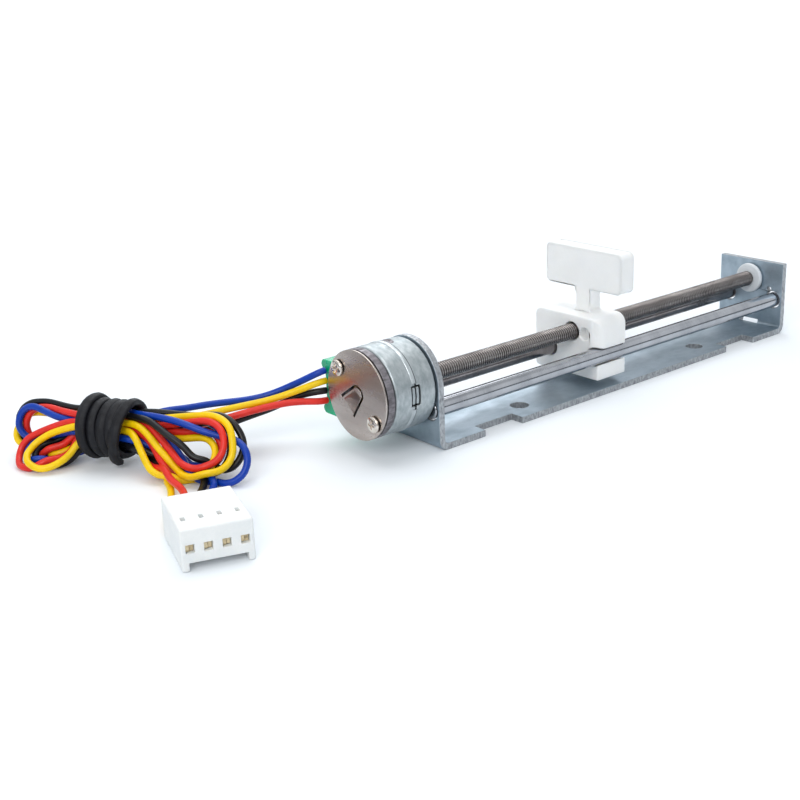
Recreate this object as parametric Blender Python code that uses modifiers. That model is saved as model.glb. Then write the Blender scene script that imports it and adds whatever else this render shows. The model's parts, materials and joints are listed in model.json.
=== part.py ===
"""Miniature stepper motor linear slide.

A can motor turns a lead screw, and a moulded slider runs along it on two guide rods, all held by
a bracket folded from sheet steel. Four leads run from the motor through a tied hank to a plug.
X runs along the screw from the motor to the far upright, Y across, Z up from the base's underside.
"""

import math

import bmesh
import bpy
from mathutils import Matrix, Vector

MM = 0.001

# Clearances
SEAT = 0.3 * MM
FINE = 0.2 * MM

# Bracket
BRACKET_LENGTH = 94.4 * MM
BRACKET_PAST_CAN = 0.1 * MM
SHEET = 1.2 * MM
BEND_RADIUS = 0.6 * MM
AXIS_HEIGHT = 10.7 * MM
FAR_UPRIGHT_ABOVE_AXIS = 3.8 * MM
NOTCH_FROM_END = 10.2 * MM
NOTCH_LENGTH = 8.7 * MM
NOTCH_DEPTH = 2.7 * MM
FIXING_HOLE_RADIUS = 1.65 * MM
FIXING_HOLE_FROM_END = 22.9 * MM
FIXING_HOLE_OFFSET = 2.8 * MM
WINDOW_WIDTH = 4.2 * MM
WINDOW_TOP = 2.0 * MM
PEEP_RADIUS = 0.5 * MM
PEEP_OFFSET = 4.5 * MM
PEEP_HEIGHT = 8.9 * MM

# Guide rods
ROD_RADIUS = 1.5 * MM
ROD_EDGE_WALL = 0.4 * MM
ROD_BELOW_AXIS = 3.9 * MM
CHAMFER = 0.2 * MM

# Lead screw and its shaft through the rotor
SCREW_RADIUS = 1.5 * MM
JOURNAL_RADIUS = 1.0 * MM
PIVOT_RADIUS = 0.5 * MM

# Bearings
FAR_BUSH_RADIUS = 2.2 * MM
FLANGE = 0.8 * MM
FLANGE_STEP = 0.8 * MM
FRONT_BEARING_RADIUS = 2.5 * MM
FRONT_BEARING_PROUD = 0.1 * MM
REAR_BEARING_RADIUS = 2.0 * MM
REAR_BEARING_SUNK = 0.25 * MM

# Motor
MOTOR_RADIUS = 7.5 * MM
CUP_DEPTH = 4.0 * MM
CUP_WALL = 0.6 * MM
CUP_EDGE = 0.5 * MM
YOKE = 0.5 * MM
POLES = 5
POLES_INSIDE_MIDWAY = 0.85 * MM
POLE_THICKNESS = 0.5 * MM
POLE_ANGLE = math.radians(24)
SLOT_WIDTH = 1.9 * MM
SLOT_BELOW_AXIS = 1.6 * MM
SLOT_ABOVE_AXIS = 1.8 * MM
SLOT_DEPTH = 1.2 * MM
TAB_SUNK = 0.2 * MM
BOBBIN_CORE = 0.35 * MM
BOBBIN_FLANGE = 0.35 * MM
WINDING_BELOW_RIM = 0.35 * MM
DISC_THICKNESS = 1.3 * MM
PLATE_THICKNESS = 0.3 * MM
HUB_RADIUS = 1.8 * MM
AIR_GAP = 0.3 * MM
MAGNET_END_GAP = 0.65 * MM

# Screws that hold the rear plate
PLATE_SCREW_HEAD_RADIUS = 1.375 * MM
PLATE_SCREW_HEAD = 0.6 * MM
PLATE_SCREW_CROWN = 0.35 * MM
PLATE_SCREW_RADIUS = 0.5 * MM
PLATE_SCREW_LENGTH = 1.1 * MM
PLATE_SCREW_FROM_RIM = 1.72 * MM
PLATE_SCREW_ANGLE = 41
RECESS_WIDTH = 0.35 * MM
RECESS_LENGTH = 1.5 * MM
RECESS_DEPTH = 0.35 * MM

# Spring tongue cut in the rear plate, about the motor's axis
TONGUE_SLIT = 0.45 * MM
TONGUE_RADIUS = 1.55 * MM
TONGUE_START = (4.02 * MM, -1.01 * MM)
TONGUE_END = (1.01 * MM, -3.83 * MM)
TONGUE_ARC_START = 75
TONGUE_ARC_END = 181

# Terminal block
BLOCK_FRONT = 3.0 * MM
BLOCK_LENGTH = 7.0 * MM
BLOCK_BELOW_AXIS = 5.5 * MM
BLOCK_ABOVE_AXIS = 3.9 * MM
BLOCK_WALL = 1.7 * MM
EAR_PROUD = 1.0 * MM
EAR_HEIGHT = 1.7 * MM
EAR_ROUND = 0.85 * MM
LEAD_OFFSETS = {"blue": 2.2 * MM, "yellow": 0.4 * MM, "black": -1.3 * MM, "red": -3.0 * MM}
PIN_RADIUS = 0.25 * MM
PIN_PROUD = 0.5 * MM
PIN_WINDOW_MARGIN = 0.6 * MM

# Slider
SLIDER_FROM_MOTOR = 39.1 * MM
SLIDER_LENGTH = 7.5 * MM
FORK_PAST_ROD = 1.1 * MM
BORE_WALL = 2.0 * MM
FOOT_CLEARANCE = 1.3 * MM
SLIDER_ABOVE_AXIS = 3.1 * MM
FRONT_FILLET = 2.0 * MM
REAR_FILLET = 1.5 * MM
FOOT_FILLET = 0.8 * MM
CORNER_FILLET = 2.1 * MM
BLIND_HOLE_RADIUS = 1.15 * MM
BLIND_HOLE_DEPTH = 2.0 * MM
BLIND_HOLE_WALL = 0.25 * MM
NECK_FROM_FACE = 2.9 * MM
NECK_LENGTH = 3.0 * MM
NECK_WIDTH = 3.4 * MM
NECK_HEIGHT = 4.4 * MM
NECK_FLARE = 0.8 * MM
NECK_ROOT = 1.0 * MM
PADDLE_THICKNESS = 3.5 * MM
PADDLE_WIDTH = 18.0 * MM
PADDLE_HEIGHT = 7.3 * MM
PADDLE_CORNER = 1.0 * MM
PADDLE_EDGE = 0.35 * MM

# Leads, their hank and its tie
LEAD_RADIUS = 0.575 * MM
POINT_SPACING = 3.1 * MM
HANK_CENTRE = (-88.1 * MM, 28.5 * MM, 6.0 * MM)
HANK_TURN = math.radians(-59.3)
HANK_LEAN = math.radians(30)
HANK_THICKNESS = 4.2 * MM
HANK_EDGE = 1.4 * MM
HANK_ASIDE = 0.8 * MM
WAIST_HALF = 2.3 * MM
WAIST_LENGTH = 10.4 * MM
NEAR_LOBE = (19.6 * MM, 5.6 * MM)
FAR_LOBE = (-11.4 * MM, 5.4 * MM)
LOBE_DROP = 1.1 * MM
LOBE_ARC = math.radians(122)
TIE_THICKNESS = 2.2 * MM
TIE_LENGTH = 9.4 * MM
TIE_TURNS = 4
TIE_TURN_STEPS = 3
TIE_GROOVE = 0.45 * MM

# Plug
PITCH = 2.54 * MM
WAYS = 4
PLUG_PLACE = (-96.03 * MM, -17.75 * MM, 0.0)
PLUG_TURN = math.radians(-19.1)
PLUG_SIDE_WALL = 0.34 * MM
PLUG_HEIGHT = 6.24 * MM
PLUG_LENGTH = 12.66 * MM
PLUG_EDGE = 0.35 * MM
PLUG_WINDOW = 1.25 * MM
PLUG_WINDOW_HEIGHT = 3.34 * MM
PLUG_FRONT_WALL = 1.0 * MM
CAVITY_WIDTH = 1.9 * MM
CAVITY_HEIGHT = 2.2 * MM
KEY_SIDE = 1.0 * MM
KEY_HEIGHT = 1.3 * MM
KEY_DEPTH = 9.0 * MM
LATCH_FROM_FRONT = 3.16 * MM
LATCH_WIDTH = 0.6 * MM
LATCH_LENGTH = 1.3 * MM
CONTACT_LENGTH = 6.8 * MM
CONTACT_WALL = 0.3 * MM

# Modelling
ROUND_STEPS = 36
EDGE_STEPS = 2
WELD = 0.000001
SMOOTH_ANGLE = math.radians(32)
OVERCUT = 1.0 * MM

# Heights and places across that follow from the sizes
HALF_WIDTH = MOTOR_RADIUS + BRACKET_PAST_CAN
FAR_UPRIGHT_HEIGHT = AXIS_HEIGHT + FAR_UPRIGHT_ABOVE_AXIS
ROD_HEIGHT = AXIS_HEIGHT - ROD_BELOW_AXIS
ROD_OFFSET = HALF_WIDTH - ROD_EDGE_WALL - SEAT - ROD_RADIUS
POLE_RADIUS = (HUB_RADIUS + MOTOR_RADIUS - CUP_WALL) / 2 - POLES_INSIDE_MIDWAY
MAGNET_RADIUS = POLE_RADIUS - AIR_GAP
BLOCK_BOTTOM = AXIS_HEIGHT - BLOCK_BELOW_AXIS
BLOCK_TOP = AXIS_HEIGHT + BLOCK_ABOVE_AXIS
BLOCK_WAIST = MOTOR_RADIUS + BLOCK_WALL
SLIDER_FRONT = ROD_OFFSET + FORK_PAST_ROD
SLIDER_REAR = ROD_OFFSET + ROD_RADIUS + FINE + BORE_WALL
SLIDER_BOTTOM = SHEET + FOOT_CLEARANCE
SLIDER_TOP = AXIS_HEIGHT + SLIDER_ABOVE_AXIS
BLIND_HOLE_OFFSET = SCREW_RADIUS + FINE + BLIND_HOLE_WALL + BLIND_HOLE_RADIUS
PADDLE_BOTTOM = SLIDER_TOP + NECK_HEIGHT
PADDLE_TOP = PADDLE_BOTTOM + PADDLE_HEIGHT
PLUG_WIDTH = (WAYS - 1) * PITCH + CAVITY_WIDTH + 2 * PLUG_SIDE_WALL

# Places along X that follow from the sizes
NEAR_FACE = -BRACKET_LENGTH / 2
FAR_FACE = BRACKET_LENGTH / 2
NEAR_INNER = NEAR_FACE + SHEET
FAR_INNER = FAR_FACE - SHEET
CUP_FACE = NEAR_FACE - SEAT
MOTOR_MIDDLE = CUP_FACE - CUP_DEPTH - SEAT / 2
CUP_FLOOR = SEAT / 2 + CUP_DEPTH - CUP_WALL
DISC_FACE = MOTOR_MIDDLE - SEAT / 2 - CUP_DEPTH - SEAT
PLATE_FACE = DISC_FACE - DISC_THICKNESS - SEAT
PLATE_BACK = PLATE_FACE - PLATE_THICKNESS
SCREW_START = NEAR_INNER + SEAT + FLANGE + SEAT
SCREW_END = FAR_INNER - SEAT - FLANGE - SEAT
SLIDER_FACE = NEAR_FACE + SLIDER_FROM_MOTOR
MAGNET_HALF = CUP_FLOOR - MAGNET_END_GAP

# Frames for outlines: each turns a drawing's X and Y into the two directions across an axis
ACROSS = {
    "X": Matrix(((0, 0, 1), (1, 0, 0), (0, 1, 0))).to_4x4(),
    "Y": Matrix(((1, 0, 0), (0, 0, -1), (0, 1, 0))).to_4x4(),
    "Z": Matrix.Identity(4),
}


def empty_scene():
    for obj in list(bpy.data.objects):
        bpy.data.objects.remove(obj)


def new_collection(name):
    made = bpy.data.collections.new(name)
    bpy.context.scene.collection.children.link(made)
    return made


empty_scene()
pieces = new_collection("linear_slide")
cutters = new_collection("cutters")


def as_mesh(drawn):
    """Swap a drawn object for the closed mesh that it makes, with its round faces smooth."""
    name = drawn.name
    bpy.context.view_layer.update()
    depsgraph = bpy.context.evaluated_depsgraph_get()
    mesh = bpy.data.meshes.new_from_object(drawn.evaluated_get(depsgraph))
    skin = bmesh.new()
    skin.from_mesh(mesh)
    bmesh.ops.remove_doubles(skin, verts=skin.verts, dist=WELD)
    bmesh.ops.recalc_face_normals(skin, faces=skin.faces)
    skin.to_mesh(mesh)
    skin.free()
    mesh.shade_smooth()
    mesh.set_sharp_from_angle(angle=SMOOTH_ANGLE)
    solid = bpy.data.objects.new(name, mesh)
    solid.matrix_world = drawn.matrix_world
    bpy.data.objects.remove(drawn)
    solid.name = name
    pieces.objects.link(solid)
    return solid


def extruded(name, axis, low, high, *outlines, base=(0, 0), edge=0.0):
    """Fill closed outlines, the later ones as holes, between two places along an axis, with the
    edges rounded when asked."""
    curve = bpy.data.curves.new(name, "CURVE")
    curve.dimensions = "2D"
    curve.fill_mode = "BOTH"
    curve.extrude = (high - low) / 2 - edge
    curve.bevel_depth = edge
    curve.bevel_resolution = EDGE_STEPS
    curve.offset = -edge
    for outline in outlines:
        spline = curve.splines.new("POLY")
        spline.points.add(len(outline) - 1)
        for point, (across, up) in zip(spline.points, outline):
            point.co = (across, up, 0, 1)
        spline.use_cyclic_u = True
    drawn = bpy.data.objects.new(name, curve)
    pieces.objects.link(drawn)
    middle = (low + high) / 2
    turn = ACROSS[axis]
    place = turn @ Vector((base[0], base[1], -middle if axis == "Y" else middle))
    drawn.matrix_world = Matrix.Translation(place) @ turn
    return as_mesh(drawn)


def turned(name, profile, base=(0, AXIS_HEIGHT), steps=ROUND_STEPS):
    """Spin a profile of (place along X, radius) points, listed from the +X end down its outside."""
    mesh = bpy.data.meshes.new(name)
    corners = [(radius, 0, along) for along, radius in profile]
    edges = [(index, index + 1) for index in range(len(corners) - 1)]
    if profile[0][1] > 0:
        edges.append((len(corners) - 1, 0))
    mesh.from_pydata(corners, edges, [])
    drawn = bpy.data.objects.new(name, mesh)
    pieces.objects.link(drawn)
    drawn.location = (0, *base)
    drawn.rotation_euler = (0, math.radians(90), 0)
    turn = drawn.modifiers.new("Turn", "SCREW")
    turn.axis = "Z"
    turn.steps = steps
    turn.render_steps = steps
    turn.use_merge_vertices = True
    turn.merge_threshold = WELD
    return as_mesh(drawn)


def block(name, low, high):
    """A box between two corners."""
    low, high = Vector(low), Vector(high)
    mesh = bpy.data.meshes.new(name)
    skin = bmesh.new()
    bmesh.ops.create_cube(skin, size=1)
    bmesh.ops.scale(skin, vec=high - low, verts=skin.verts)
    skin.to_mesh(mesh)
    skin.free()
    solid = bpy.data.objects.new(name, mesh)
    solid.matrix_world = Matrix.Translation((low + high) / 2)
    pieces.objects.link(solid)
    return solid


def combine(target, tools, operation):
    """Cut the target with each tool, or join each tool to it, and put the tools away."""
    for tool in tools:
        tool.name = target.name + "_tool"
        pieces.objects.unlink(tool)
        cutters.objects.link(tool)
        tool.hide_render = True
        tool.display_type = "WIRE"
        step = target.modifiers.new(tool.name, "BOOLEAN")
        step.operation = operation
        step.solver = "EXACT"
        step.object = tool
    return target


def cut(target, *tools):
    return combine(target, tools, "DIFFERENCE")


def join(target, *tools):
    return combine(target, tools, "UNION")


def with_origin(solid, place):
    """Put a solid's origin at a place, and leave its shape where it is."""
    shift = solid.matrix_world.inverted() @ Vector(place)
    solid.data.transform(Matrix.Translation(-shift))
    solid.matrix_world.translation = place
    return solid


def rounded(solid, width, segments=3):
    """Round a solid's sharp edges."""
    step = solid.modifiers.new("Edges", "BEVEL")
    step.width = width
    step.segments = segments
    step.limit_method = "ANGLE"
    return solid


def painted(solid, colour, roughness, metallic=0.0):
    """Give a piece its own material."""
    made = bpy.data.materials.new(solid.name)
    made.use_nodes = True
    shader = made.node_tree.nodes["Principled BSDF"]
    shader.inputs["Base Color"].default_value = (*colour, 1)
    shader.inputs["Roughness"].default_value = roughness
    shader.inputs["Metallic"].default_value = metallic
    solid.data.materials.clear()
    solid.data.materials.append(made)
    return solid


def arc(centre, radius, start, end, steps):
    """Points on a circle from one angle in degrees to another."""
    points = []
    for index in range(steps + 1):
        angle = math.radians(start + (end - start) * index / steps)
        points.append((centre[0] + radius * math.cos(angle), centre[1] + radius * math.sin(angle)))
    return points


def circle(centre, radius, steps=ROUND_STEPS):
    return arc(centre, radius, 0, 360 - 360 / steps, steps - 1)


def rectangle(left, bottom, right, top, corner=0.0, steps=4):
    """A rectangle, with round corners when asked."""
    if corner == 0:
        return [(left, bottom), (right, bottom), (right, top), (left, top)]
    places = [(left + corner, bottom + corner, 180), (right - corner, bottom + corner, 270),
              (right - corner, top - corner, 0), (left + corner, top - corner, 90)]
    points = []
    for across, up, start in places:
        points += arc((across, up), corner, start, start + 90, steps)
    return points


STEEL = (0.42, 0.46, 0.50)
STAINLESS = (0.52, 0.47, 0.43)
ROD_STEEL = (0.55, 0.56, 0.58)
BRONZE = (0.48, 0.31, 0.14)
BRASS = (0.70, 0.50, 0.22)
WHITE = (0.83, 0.85, 0.86)
GREEN = (0.01, 0.42, 0.22)
LEAD_COLOURS = {"blue": (0.01, 0.08, 0.42), "yellow": (0.87, 0.58, 0.0),
                "black": (0.012, 0.012, 0.015), "red": (0.62, 0.03, 0.02)}


def bracket():
    """One sheet folded into a channel: base, round-topped near upright and square far upright."""
    outer = SHEET + BEND_RADIUS
    near_top = AXIS_HEIGHT + HALF_WIDTH
    near_bend = (NEAR_FACE + outer, outer)
    far_bend = (FAR_FACE - outer, outer)
    profile = [(NEAR_FACE, near_top)] + arc(near_bend, outer, 180, 270, 6)
    profile += arc(far_bend, outer, 270, 360, 6) + [(FAR_FACE, FAR_UPRIGHT_HEIGHT)]
    profile += [(FAR_INNER, FAR_UPRIGHT_HEIGHT)] + arc(far_bend, BEND_RADIUS, 360, 270, 6)
    profile += arc(near_bend, BEND_RADIUS, 270, 180, 6) + [(NEAR_INNER, near_top)]
    sheet = extruded("bracket", "Y", -HALF_WIDTH, HALF_WIDTH, profile)

    beyond = HALF_WIDTH + OVERCUT
    dome = [(beyond, AXIS_HEIGHT)] + arc((0, AXIS_HEIGHT), HALF_WIDTH, 0, 180, 24)
    dome += [(-beyond, AXIS_HEIGHT), (-beyond, near_top + OVERCUT), (beyond, near_top + OVERCUT)]
    cut(sheet, extruded("dome_cut", "X", NEAR_FACE - OVERCUT, NEAR_INNER + OVERCUT, dome))

    for end in (-1, 1):
        edge = end * (BRACKET_LENGTH / 2 - NOTCH_FROM_END)
        inner_edge = edge - end * NOTCH_LENGTH
        for side in (-1, 1):
            near, far = side * (HALF_WIDTH - NOTCH_DEPTH), side * beyond
            cut(sheet, block("notch_cut", (min(edge, inner_edge), min(near, far), -OVERCUT),
                             (max(edge, inner_edge), max(near, far), SHEET + OVERCUT)))
        hole = (end * (BRACKET_LENGTH / 2 - FIXING_HOLE_FROM_END), -FIXING_HOLE_OFFSET)
        cut(sheet, extruded("fixing_cut", "Z", -OVERCUT, SHEET + OVERCUT,
                            circle(hole, FIXING_HOLE_RADIUS, 24)))

    for side in (-1, 1):
        rod = circle((side * ROD_OFFSET, ROD_HEIGHT), ROD_RADIUS + SEAT, 24)
        cut(sheet, extruded("rod_cut", "X", NEAR_FACE - OVERCUT, FAR_FACE + OVERCUT, rod))
    bearing = circle((0, AXIS_HEIGHT), FRONT_BEARING_RADIUS + SEAT)
    cut(sheet, extruded("bearing_cut", "X", NEAR_FACE - OVERCUT, NEAR_INNER + OVERCUT, bearing))
    bush = circle((0, AXIS_HEIGHT), FAR_BUSH_RADIUS + SEAT)
    peep = circle((-PEEP_OFFSET, PEEP_HEIGHT), PEEP_RADIUS, 12)
    cut(sheet, extruded("bush_cut", "X", FAR_INNER - OVERCUT, FAR_FACE + OVERCUT, bush),
        extruded("peep_cut", "X", FAR_INNER - OVERCUT, FAR_FACE + OVERCUT, peep),
        block("window_cut", (FAR_INNER - BEND_RADIUS / 2, -WINDOW_WIDTH / 2, -OVERCUT),
              (FAR_FACE + OVERCUT, WINDOW_WIDTH / 2, WINDOW_TOP)))
    return painted(sheet, STEEL, 0.45, 0.9)


def guide_rod(name, side):
    """A ground rod with chamfered ends, through both uprights."""
    profile = [(FAR_FACE, 0), (FAR_FACE, ROD_RADIUS - CHAMFER), (FAR_FACE - CHAMFER, ROD_RADIUS),
               (NEAR_FACE + CHAMFER, ROD_RADIUS), (NEAR_FACE, ROD_RADIUS - CHAMFER), (NEAR_FACE, 0)]
    rod = turned(name, profile, (side * ROD_OFFSET, ROD_HEIGHT), 24)
    return painted(rod, ROD_STEEL, 0.2, 1.0)


def lead_screw():
    """The screw, its journal in the far bush, and its shaft and pivot through the rotor."""
    shoulder = MOTOR_MIDDLE - MAGNET_HALF
    pivot_end = PLATE_FACE + FINE
    profile = [(FAR_FACE - CHAMFER, 0), (FAR_FACE - CHAMFER, JOURNAL_RADIUS - CHAMFER),
               (FAR_FACE - 2 * CHAMFER, JOURNAL_RADIUS), (SCREW_END, JOURNAL_RADIUS),
               (SCREW_END, SCREW_RADIUS - CHAMFER), (SCREW_END - CHAMFER, SCREW_RADIUS),
               (SCREW_START + CHAMFER, SCREW_RADIUS), (SCREW_START, SCREW_RADIUS - CHAMFER),
               (SCREW_START, JOURNAL_RADIUS), (shoulder, JOURNAL_RADIUS), (shoulder, PIVOT_RADIUS),
               (pivot_end + CHAMFER, PIVOT_RADIUS), (pivot_end, PIVOT_RADIUS - CHAMFER),
               (pivot_end, 0)]
    return painted(turned("lead_screw", profile, steps=24), (0.30, 0.28, 0.27), 0.35, 1.0)


def far_bush():
    """A flanged bush through the far upright."""
    face = FAR_INNER - SEAT - FLANGE
    bore = JOURNAL_RADIUS + FINE
    rim = FAR_BUSH_RADIUS + FLANGE_STEP
    profile = [(FAR_FACE, bore), (FAR_FACE, FAR_BUSH_RADIUS),
               (face + FLANGE, FAR_BUSH_RADIUS), (face + FLANGE, rim),
               (face + CHAMFER, rim), (face, rim - CHAMFER), (face, bore)]
    return painted(turned("far_bush", profile), WHITE, 0.4)


def front_bearing():
    """A flanged sintered bearing through the near upright, into the front cup."""
    face = NEAR_INNER + SEAT + FLANGE
    end = CUP_FACE - CUP_WALL - FRONT_BEARING_PROUD
    bore = JOURNAL_RADIUS + FINE
    rim = FRONT_BEARING_RADIUS + FLANGE_STEP
    profile = [(face, bore), (face, rim - CHAMFER), (face - CHAMFER, rim), (face - FLANGE, rim),
               (face - FLANGE, FRONT_BEARING_RADIUS), (end, FRONT_BEARING_RADIUS), (end, bore)]
    return painted(turned("front_bearing", profile, steps=30), BRONZE, 0.5, 0.8)


def rear_bearing():
    """A plain sintered bearing through the rear cup and disc, round the shaft's pivot."""
    inner = MOTOR_MIDDLE - MAGNET_HALF - FINE
    outer = DISC_FACE - DISC_THICKNESS + REAR_BEARING_SUNK
    bore = PIVOT_RADIUS + FINE
    profile = [(inner, bore), (inner, REAR_BEARING_RADIUS), (outer, REAR_BEARING_RADIUS),
               (outer, bore)]
    return painted(turned("rear_bearing", profile, steps=24), BRONZE, 0.5, 0.8)


def along(side, distance):
    """The place at a distance from the motor's middle, towards the front or the rear."""
    return MOTOR_MIDDLE + side * distance


def between_poles(name, low, high, first):
    """Wedges that cut a thin ring into separate pole teeth, the first gap at an angle."""
    pitch = 2 * math.pi / POLES
    inner, outer = POLE_RADIUS - FINE, POLE_RADIUS + POLE_THICKNESS + FINE
    wedges = []
    for index in range(POLES):
        start = math.degrees(first + index * pitch + POLE_ANGLE / 2)
        end = start + math.degrees(pitch - POLE_ANGLE)
        centre = (0, AXIS_HEIGHT)
        wedges.append(arc(centre, inner, start, end, 6) + arc(centre, outer, end, start, 6))
    return extruded(name, "X", min(low, high), max(low, high), *wedges)


def cup(name, side, bore):
    """A drawn can with pole teeth bent in from its floor, and a slot for the yoke's tab."""
    rim, floor, face = SEAT / 2, CUP_FLOOR, CUP_FLOOR + CUP_WALL
    tip = rim + YOKE + SEAT
    tooth = POLE_RADIUS + POLE_THICKNESS
    edge = arc((face - CUP_EDGE, MOTOR_RADIUS - CUP_EDGE), CUP_EDGE, 0, 90, 4)
    profile = [(face, bore)] + edge
    profile += [(rim, MOTOR_RADIUS), (rim, MOTOR_RADIUS - CUP_WALL),
                (floor, MOTOR_RADIUS - CUP_WALL), (floor, tooth), (tip, tooth), (tip, POLE_RADIUS),
                (floor, POLE_RADIUS), (floor, bore)]
    placed = [(along(side, distance), radius) for distance, radius in profile]
    can = turned(name, placed if side > 0 else placed[::-1])
    cut(can, between_poles(name + "_pole_cut", along(side, 0), along(side, floor), 0.0))
    slot = SLOT_WIDTH / 2
    slot_low = (MOTOR_MIDDLE - slot, -MOTOR_RADIUS - OVERCUT, AXIS_HEIGHT - SLOT_BELOW_AXIS)
    slot_high = (MOTOR_MIDDLE + slot, SLOT_DEPTH - MOTOR_RADIUS, AXIS_HEIGHT + SLOT_ABOVE_AXIS)
    cut(can, block(name + "_slot_cut", slot_low, slot_high))
    left, right = sorted((along(side, rim - OVERCUT), along(side, floor)))
    bottom = AXIS_HEIGHT + min(LEAD_OFFSETS.values()) - PIN_WINDOW_MARGIN
    top = AXIS_HEIGHT + max(LEAD_OFFSETS.values()) + PIN_WINDOW_MARGIN
    inside = (MOTOR_RADIUS + tooth) / 2
    cut(can, block(name + "_pin_window_cut", (left, inside, bottom),
                   (right, MOTOR_RADIUS + OVERCUT, top)))
    return painted(can, STEEL, 0.42, 0.9)


def yoke(name, side):
    """A flat pole ring with teeth between the cup's, and a tab in the cups' slot."""
    low, high = SEAT / 2, SEAT / 2 + YOKE
    tip = CUP_FLOOR - SEAT
    tooth = POLE_RADIUS + POLE_THICKNESS
    rim = MOTOR_RADIUS - CUP_WALL - SEAT
    blank = MOTOR_RADIUS - TAB_SUNK
    profile = [(tip, POLE_RADIUS), (tip, tooth), (high, tooth), (high, blank), (low, blank),
               (low, POLE_RADIUS)]
    placed = [(along(side, distance), radius) for distance, radius in profile]
    ring = turned(name, placed if side > 0 else placed[::-1])
    pitch = 2 * math.pi / POLES
    cut(ring, between_poles(name + "_pole_cut", along(side, high), along(side, CUP_FLOOR), pitch / 2))

    below, above = SLOT_BELOW_AXIS - SEAT, SLOT_ABOVE_AXIS - SEAT
    bottom_angle = 180 + math.degrees(math.asin(below / rim))
    top_angle = 540 - math.degrees(math.asin(above / rim))
    kept = arc((0, 0), rim, bottom_angle, top_angle, ROUND_STEPS)
    kept += [(-MOTOR_RADIUS, above), (-MOTOR_RADIUS, -below)]
    around = circle((0, 0), MOTOR_RADIUS + OVERCUT)
    left, right = sorted((along(side, low - YOKE / 2), along(side, high + YOKE / 2)))
    cut(ring, extruded(name + "_rim_cut", "X", left, right, around, kept, base=(0, AXIS_HEIGHT)))
    return painted(ring, STEEL, 0.4, 0.9)


def bobbin_sizes():
    """The bobbin's ends from the motor's middle, and its core and flange radii."""
    low = SEAT / 2 + YOKE + FINE
    high = CUP_FLOOR - FINE
    core = POLE_RADIUS + POLE_THICKNESS + FINE
    rim = MOTOR_RADIUS - CUP_WALL - SEAT
    return low, high, core, rim


def bobbin(name, side):
    """A moulded spool round the pole teeth."""
    low, high, core, rim = bobbin_sizes()
    floor = core + BOBBIN_CORE
    profile = [(high, core), (high, rim), (high - BOBBIN_FLANGE, rim), (high - BOBBIN_FLANGE, floor),
               (low + BOBBIN_FLANGE, floor), (low + BOBBIN_FLANGE, rim), (low, rim), (low, core)]
    placed = [(along(side, distance), radius) for distance, radius in profile]
    return painted(turned(name, placed if side > 0 else placed[::-1], steps=30), (0.1, 0.1, 0.1), 0.6)


def coil(name, side):
    """One phase's winding on its bobbin."""
    low, high, core, rim = bobbin_sizes()
    low, high = low + BOBBIN_FLANGE + FINE, high - BOBBIN_FLANGE - FINE
    inner, outer = core + BOBBIN_CORE + FINE, rim - WINDING_BELOW_RIM
    profile = [(high, inner), (high, outer), (low, outer), (low, inner)]
    placed = [(along(side, distance), radius) for distance, radius in profile]
    return painted(turned(name, placed if side > 0 else placed[::-1], steps=30),
                   (0.55, 0.18, 0.06), 0.35, 0.8)


def rotor_hub():
    """The sleeve that carries the magnet on the shaft."""
    half = MAGNET_HALF
    profile = [(along(1, half), JOURNAL_RADIUS + FINE), (along(1, half), HUB_RADIUS),
               (along(-1, half), HUB_RADIUS), (along(-1, half), JOURNAL_RADIUS + FINE)]
    return painted(turned("rotor_hub", profile, steps=24), BRASS, 0.4, 0.9)


def rotor_magnet():
    """The ring magnet inside the pole teeth."""
    half = MAGNET_HALF - CHAMFER
    bore = HUB_RADIUS + FINE
    profile = [(along(1, half), bore), (along(1, half), MAGNET_RADIUS),
               (along(-1, half), MAGNET_RADIUS), (along(-1, half), bore)]
    return painted(turned("rotor_magnet", profile, steps=30), (0.05, 0.05, 0.055), 0.5)


def plate_screw_places():
    """Where the two screws stand, as (Y, Z)."""
    radius = MOTOR_RADIUS - PLATE_SCREW_FROM_RIM
    across = radius * math.cos(math.radians(PLATE_SCREW_ANGLE))
    up = radius * math.sin(math.radians(PLATE_SCREW_ANGLE))
    return [(side * across, AXIS_HEIGHT + side * up) for side in (1, -1)]


def rear_disc():
    """The zinc disc that closes the rear cup."""
    centre = (0, AXIS_HEIGHT)
    holes = [circle(centre, REAR_BEARING_RADIUS + SEAT, 24)]
    holes += [circle(place, PLATE_SCREW_RADIUS + SEAT, 12) for place in plate_screw_places()]
    disc = extruded("rear_disc", "X", DISC_FACE - DISC_THICKNESS, DISC_FACE,
                    circle(centre, MOTOR_RADIUS, 48), *holes)
    return painted(disc, (0.25, 0.25, 0.28), 0.6, 0.8)


def ribbon(path, width):
    """The outline of a slit that follows an open path of points."""
    sides = ([], [])
    for index, point in enumerate(path):
        before = Vector(path[max(index - 1, 0)])
        after = Vector(path[min(index + 1, len(path) - 1)])
        ahead = (after - before).normalized()
        aside = Vector((-ahead.y, ahead.x)) * width / 2
        sides[0].append(tuple(Vector(point) + aside))
        sides[1].append(tuple(Vector(point) - aside))
    return sides[0] + sides[1][::-1]


def rear_plate():
    """The thin stainless plate, with a D-shaped tongue that presses on the shaft's pivot."""
    centre = (0, AXIS_HEIGHT)
    holes = [circle(place, PLATE_SCREW_RADIUS + SEAT, 12) for place in plate_screw_places()]
    plate = extruded("rear_plate", "X", PLATE_BACK, PLATE_FACE, circle(centre, MOTOR_RADIUS, 48),
                     *holes)
    path = [TONGUE_START] + arc((0, 0), TONGUE_RADIUS, TONGUE_ARC_START, TONGUE_ARC_END, 12)
    path.append(TONGUE_END)
    slit = extruded("tongue_cut", "X", PLATE_BACK - OVERCUT / 2, PLATE_FACE + OVERCUT / 2,
                    ribbon(path, TONGUE_SLIT), base=centre)
    return painted(cut(plate, slit), STAINLESS, 0.25, 1.0)


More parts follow.
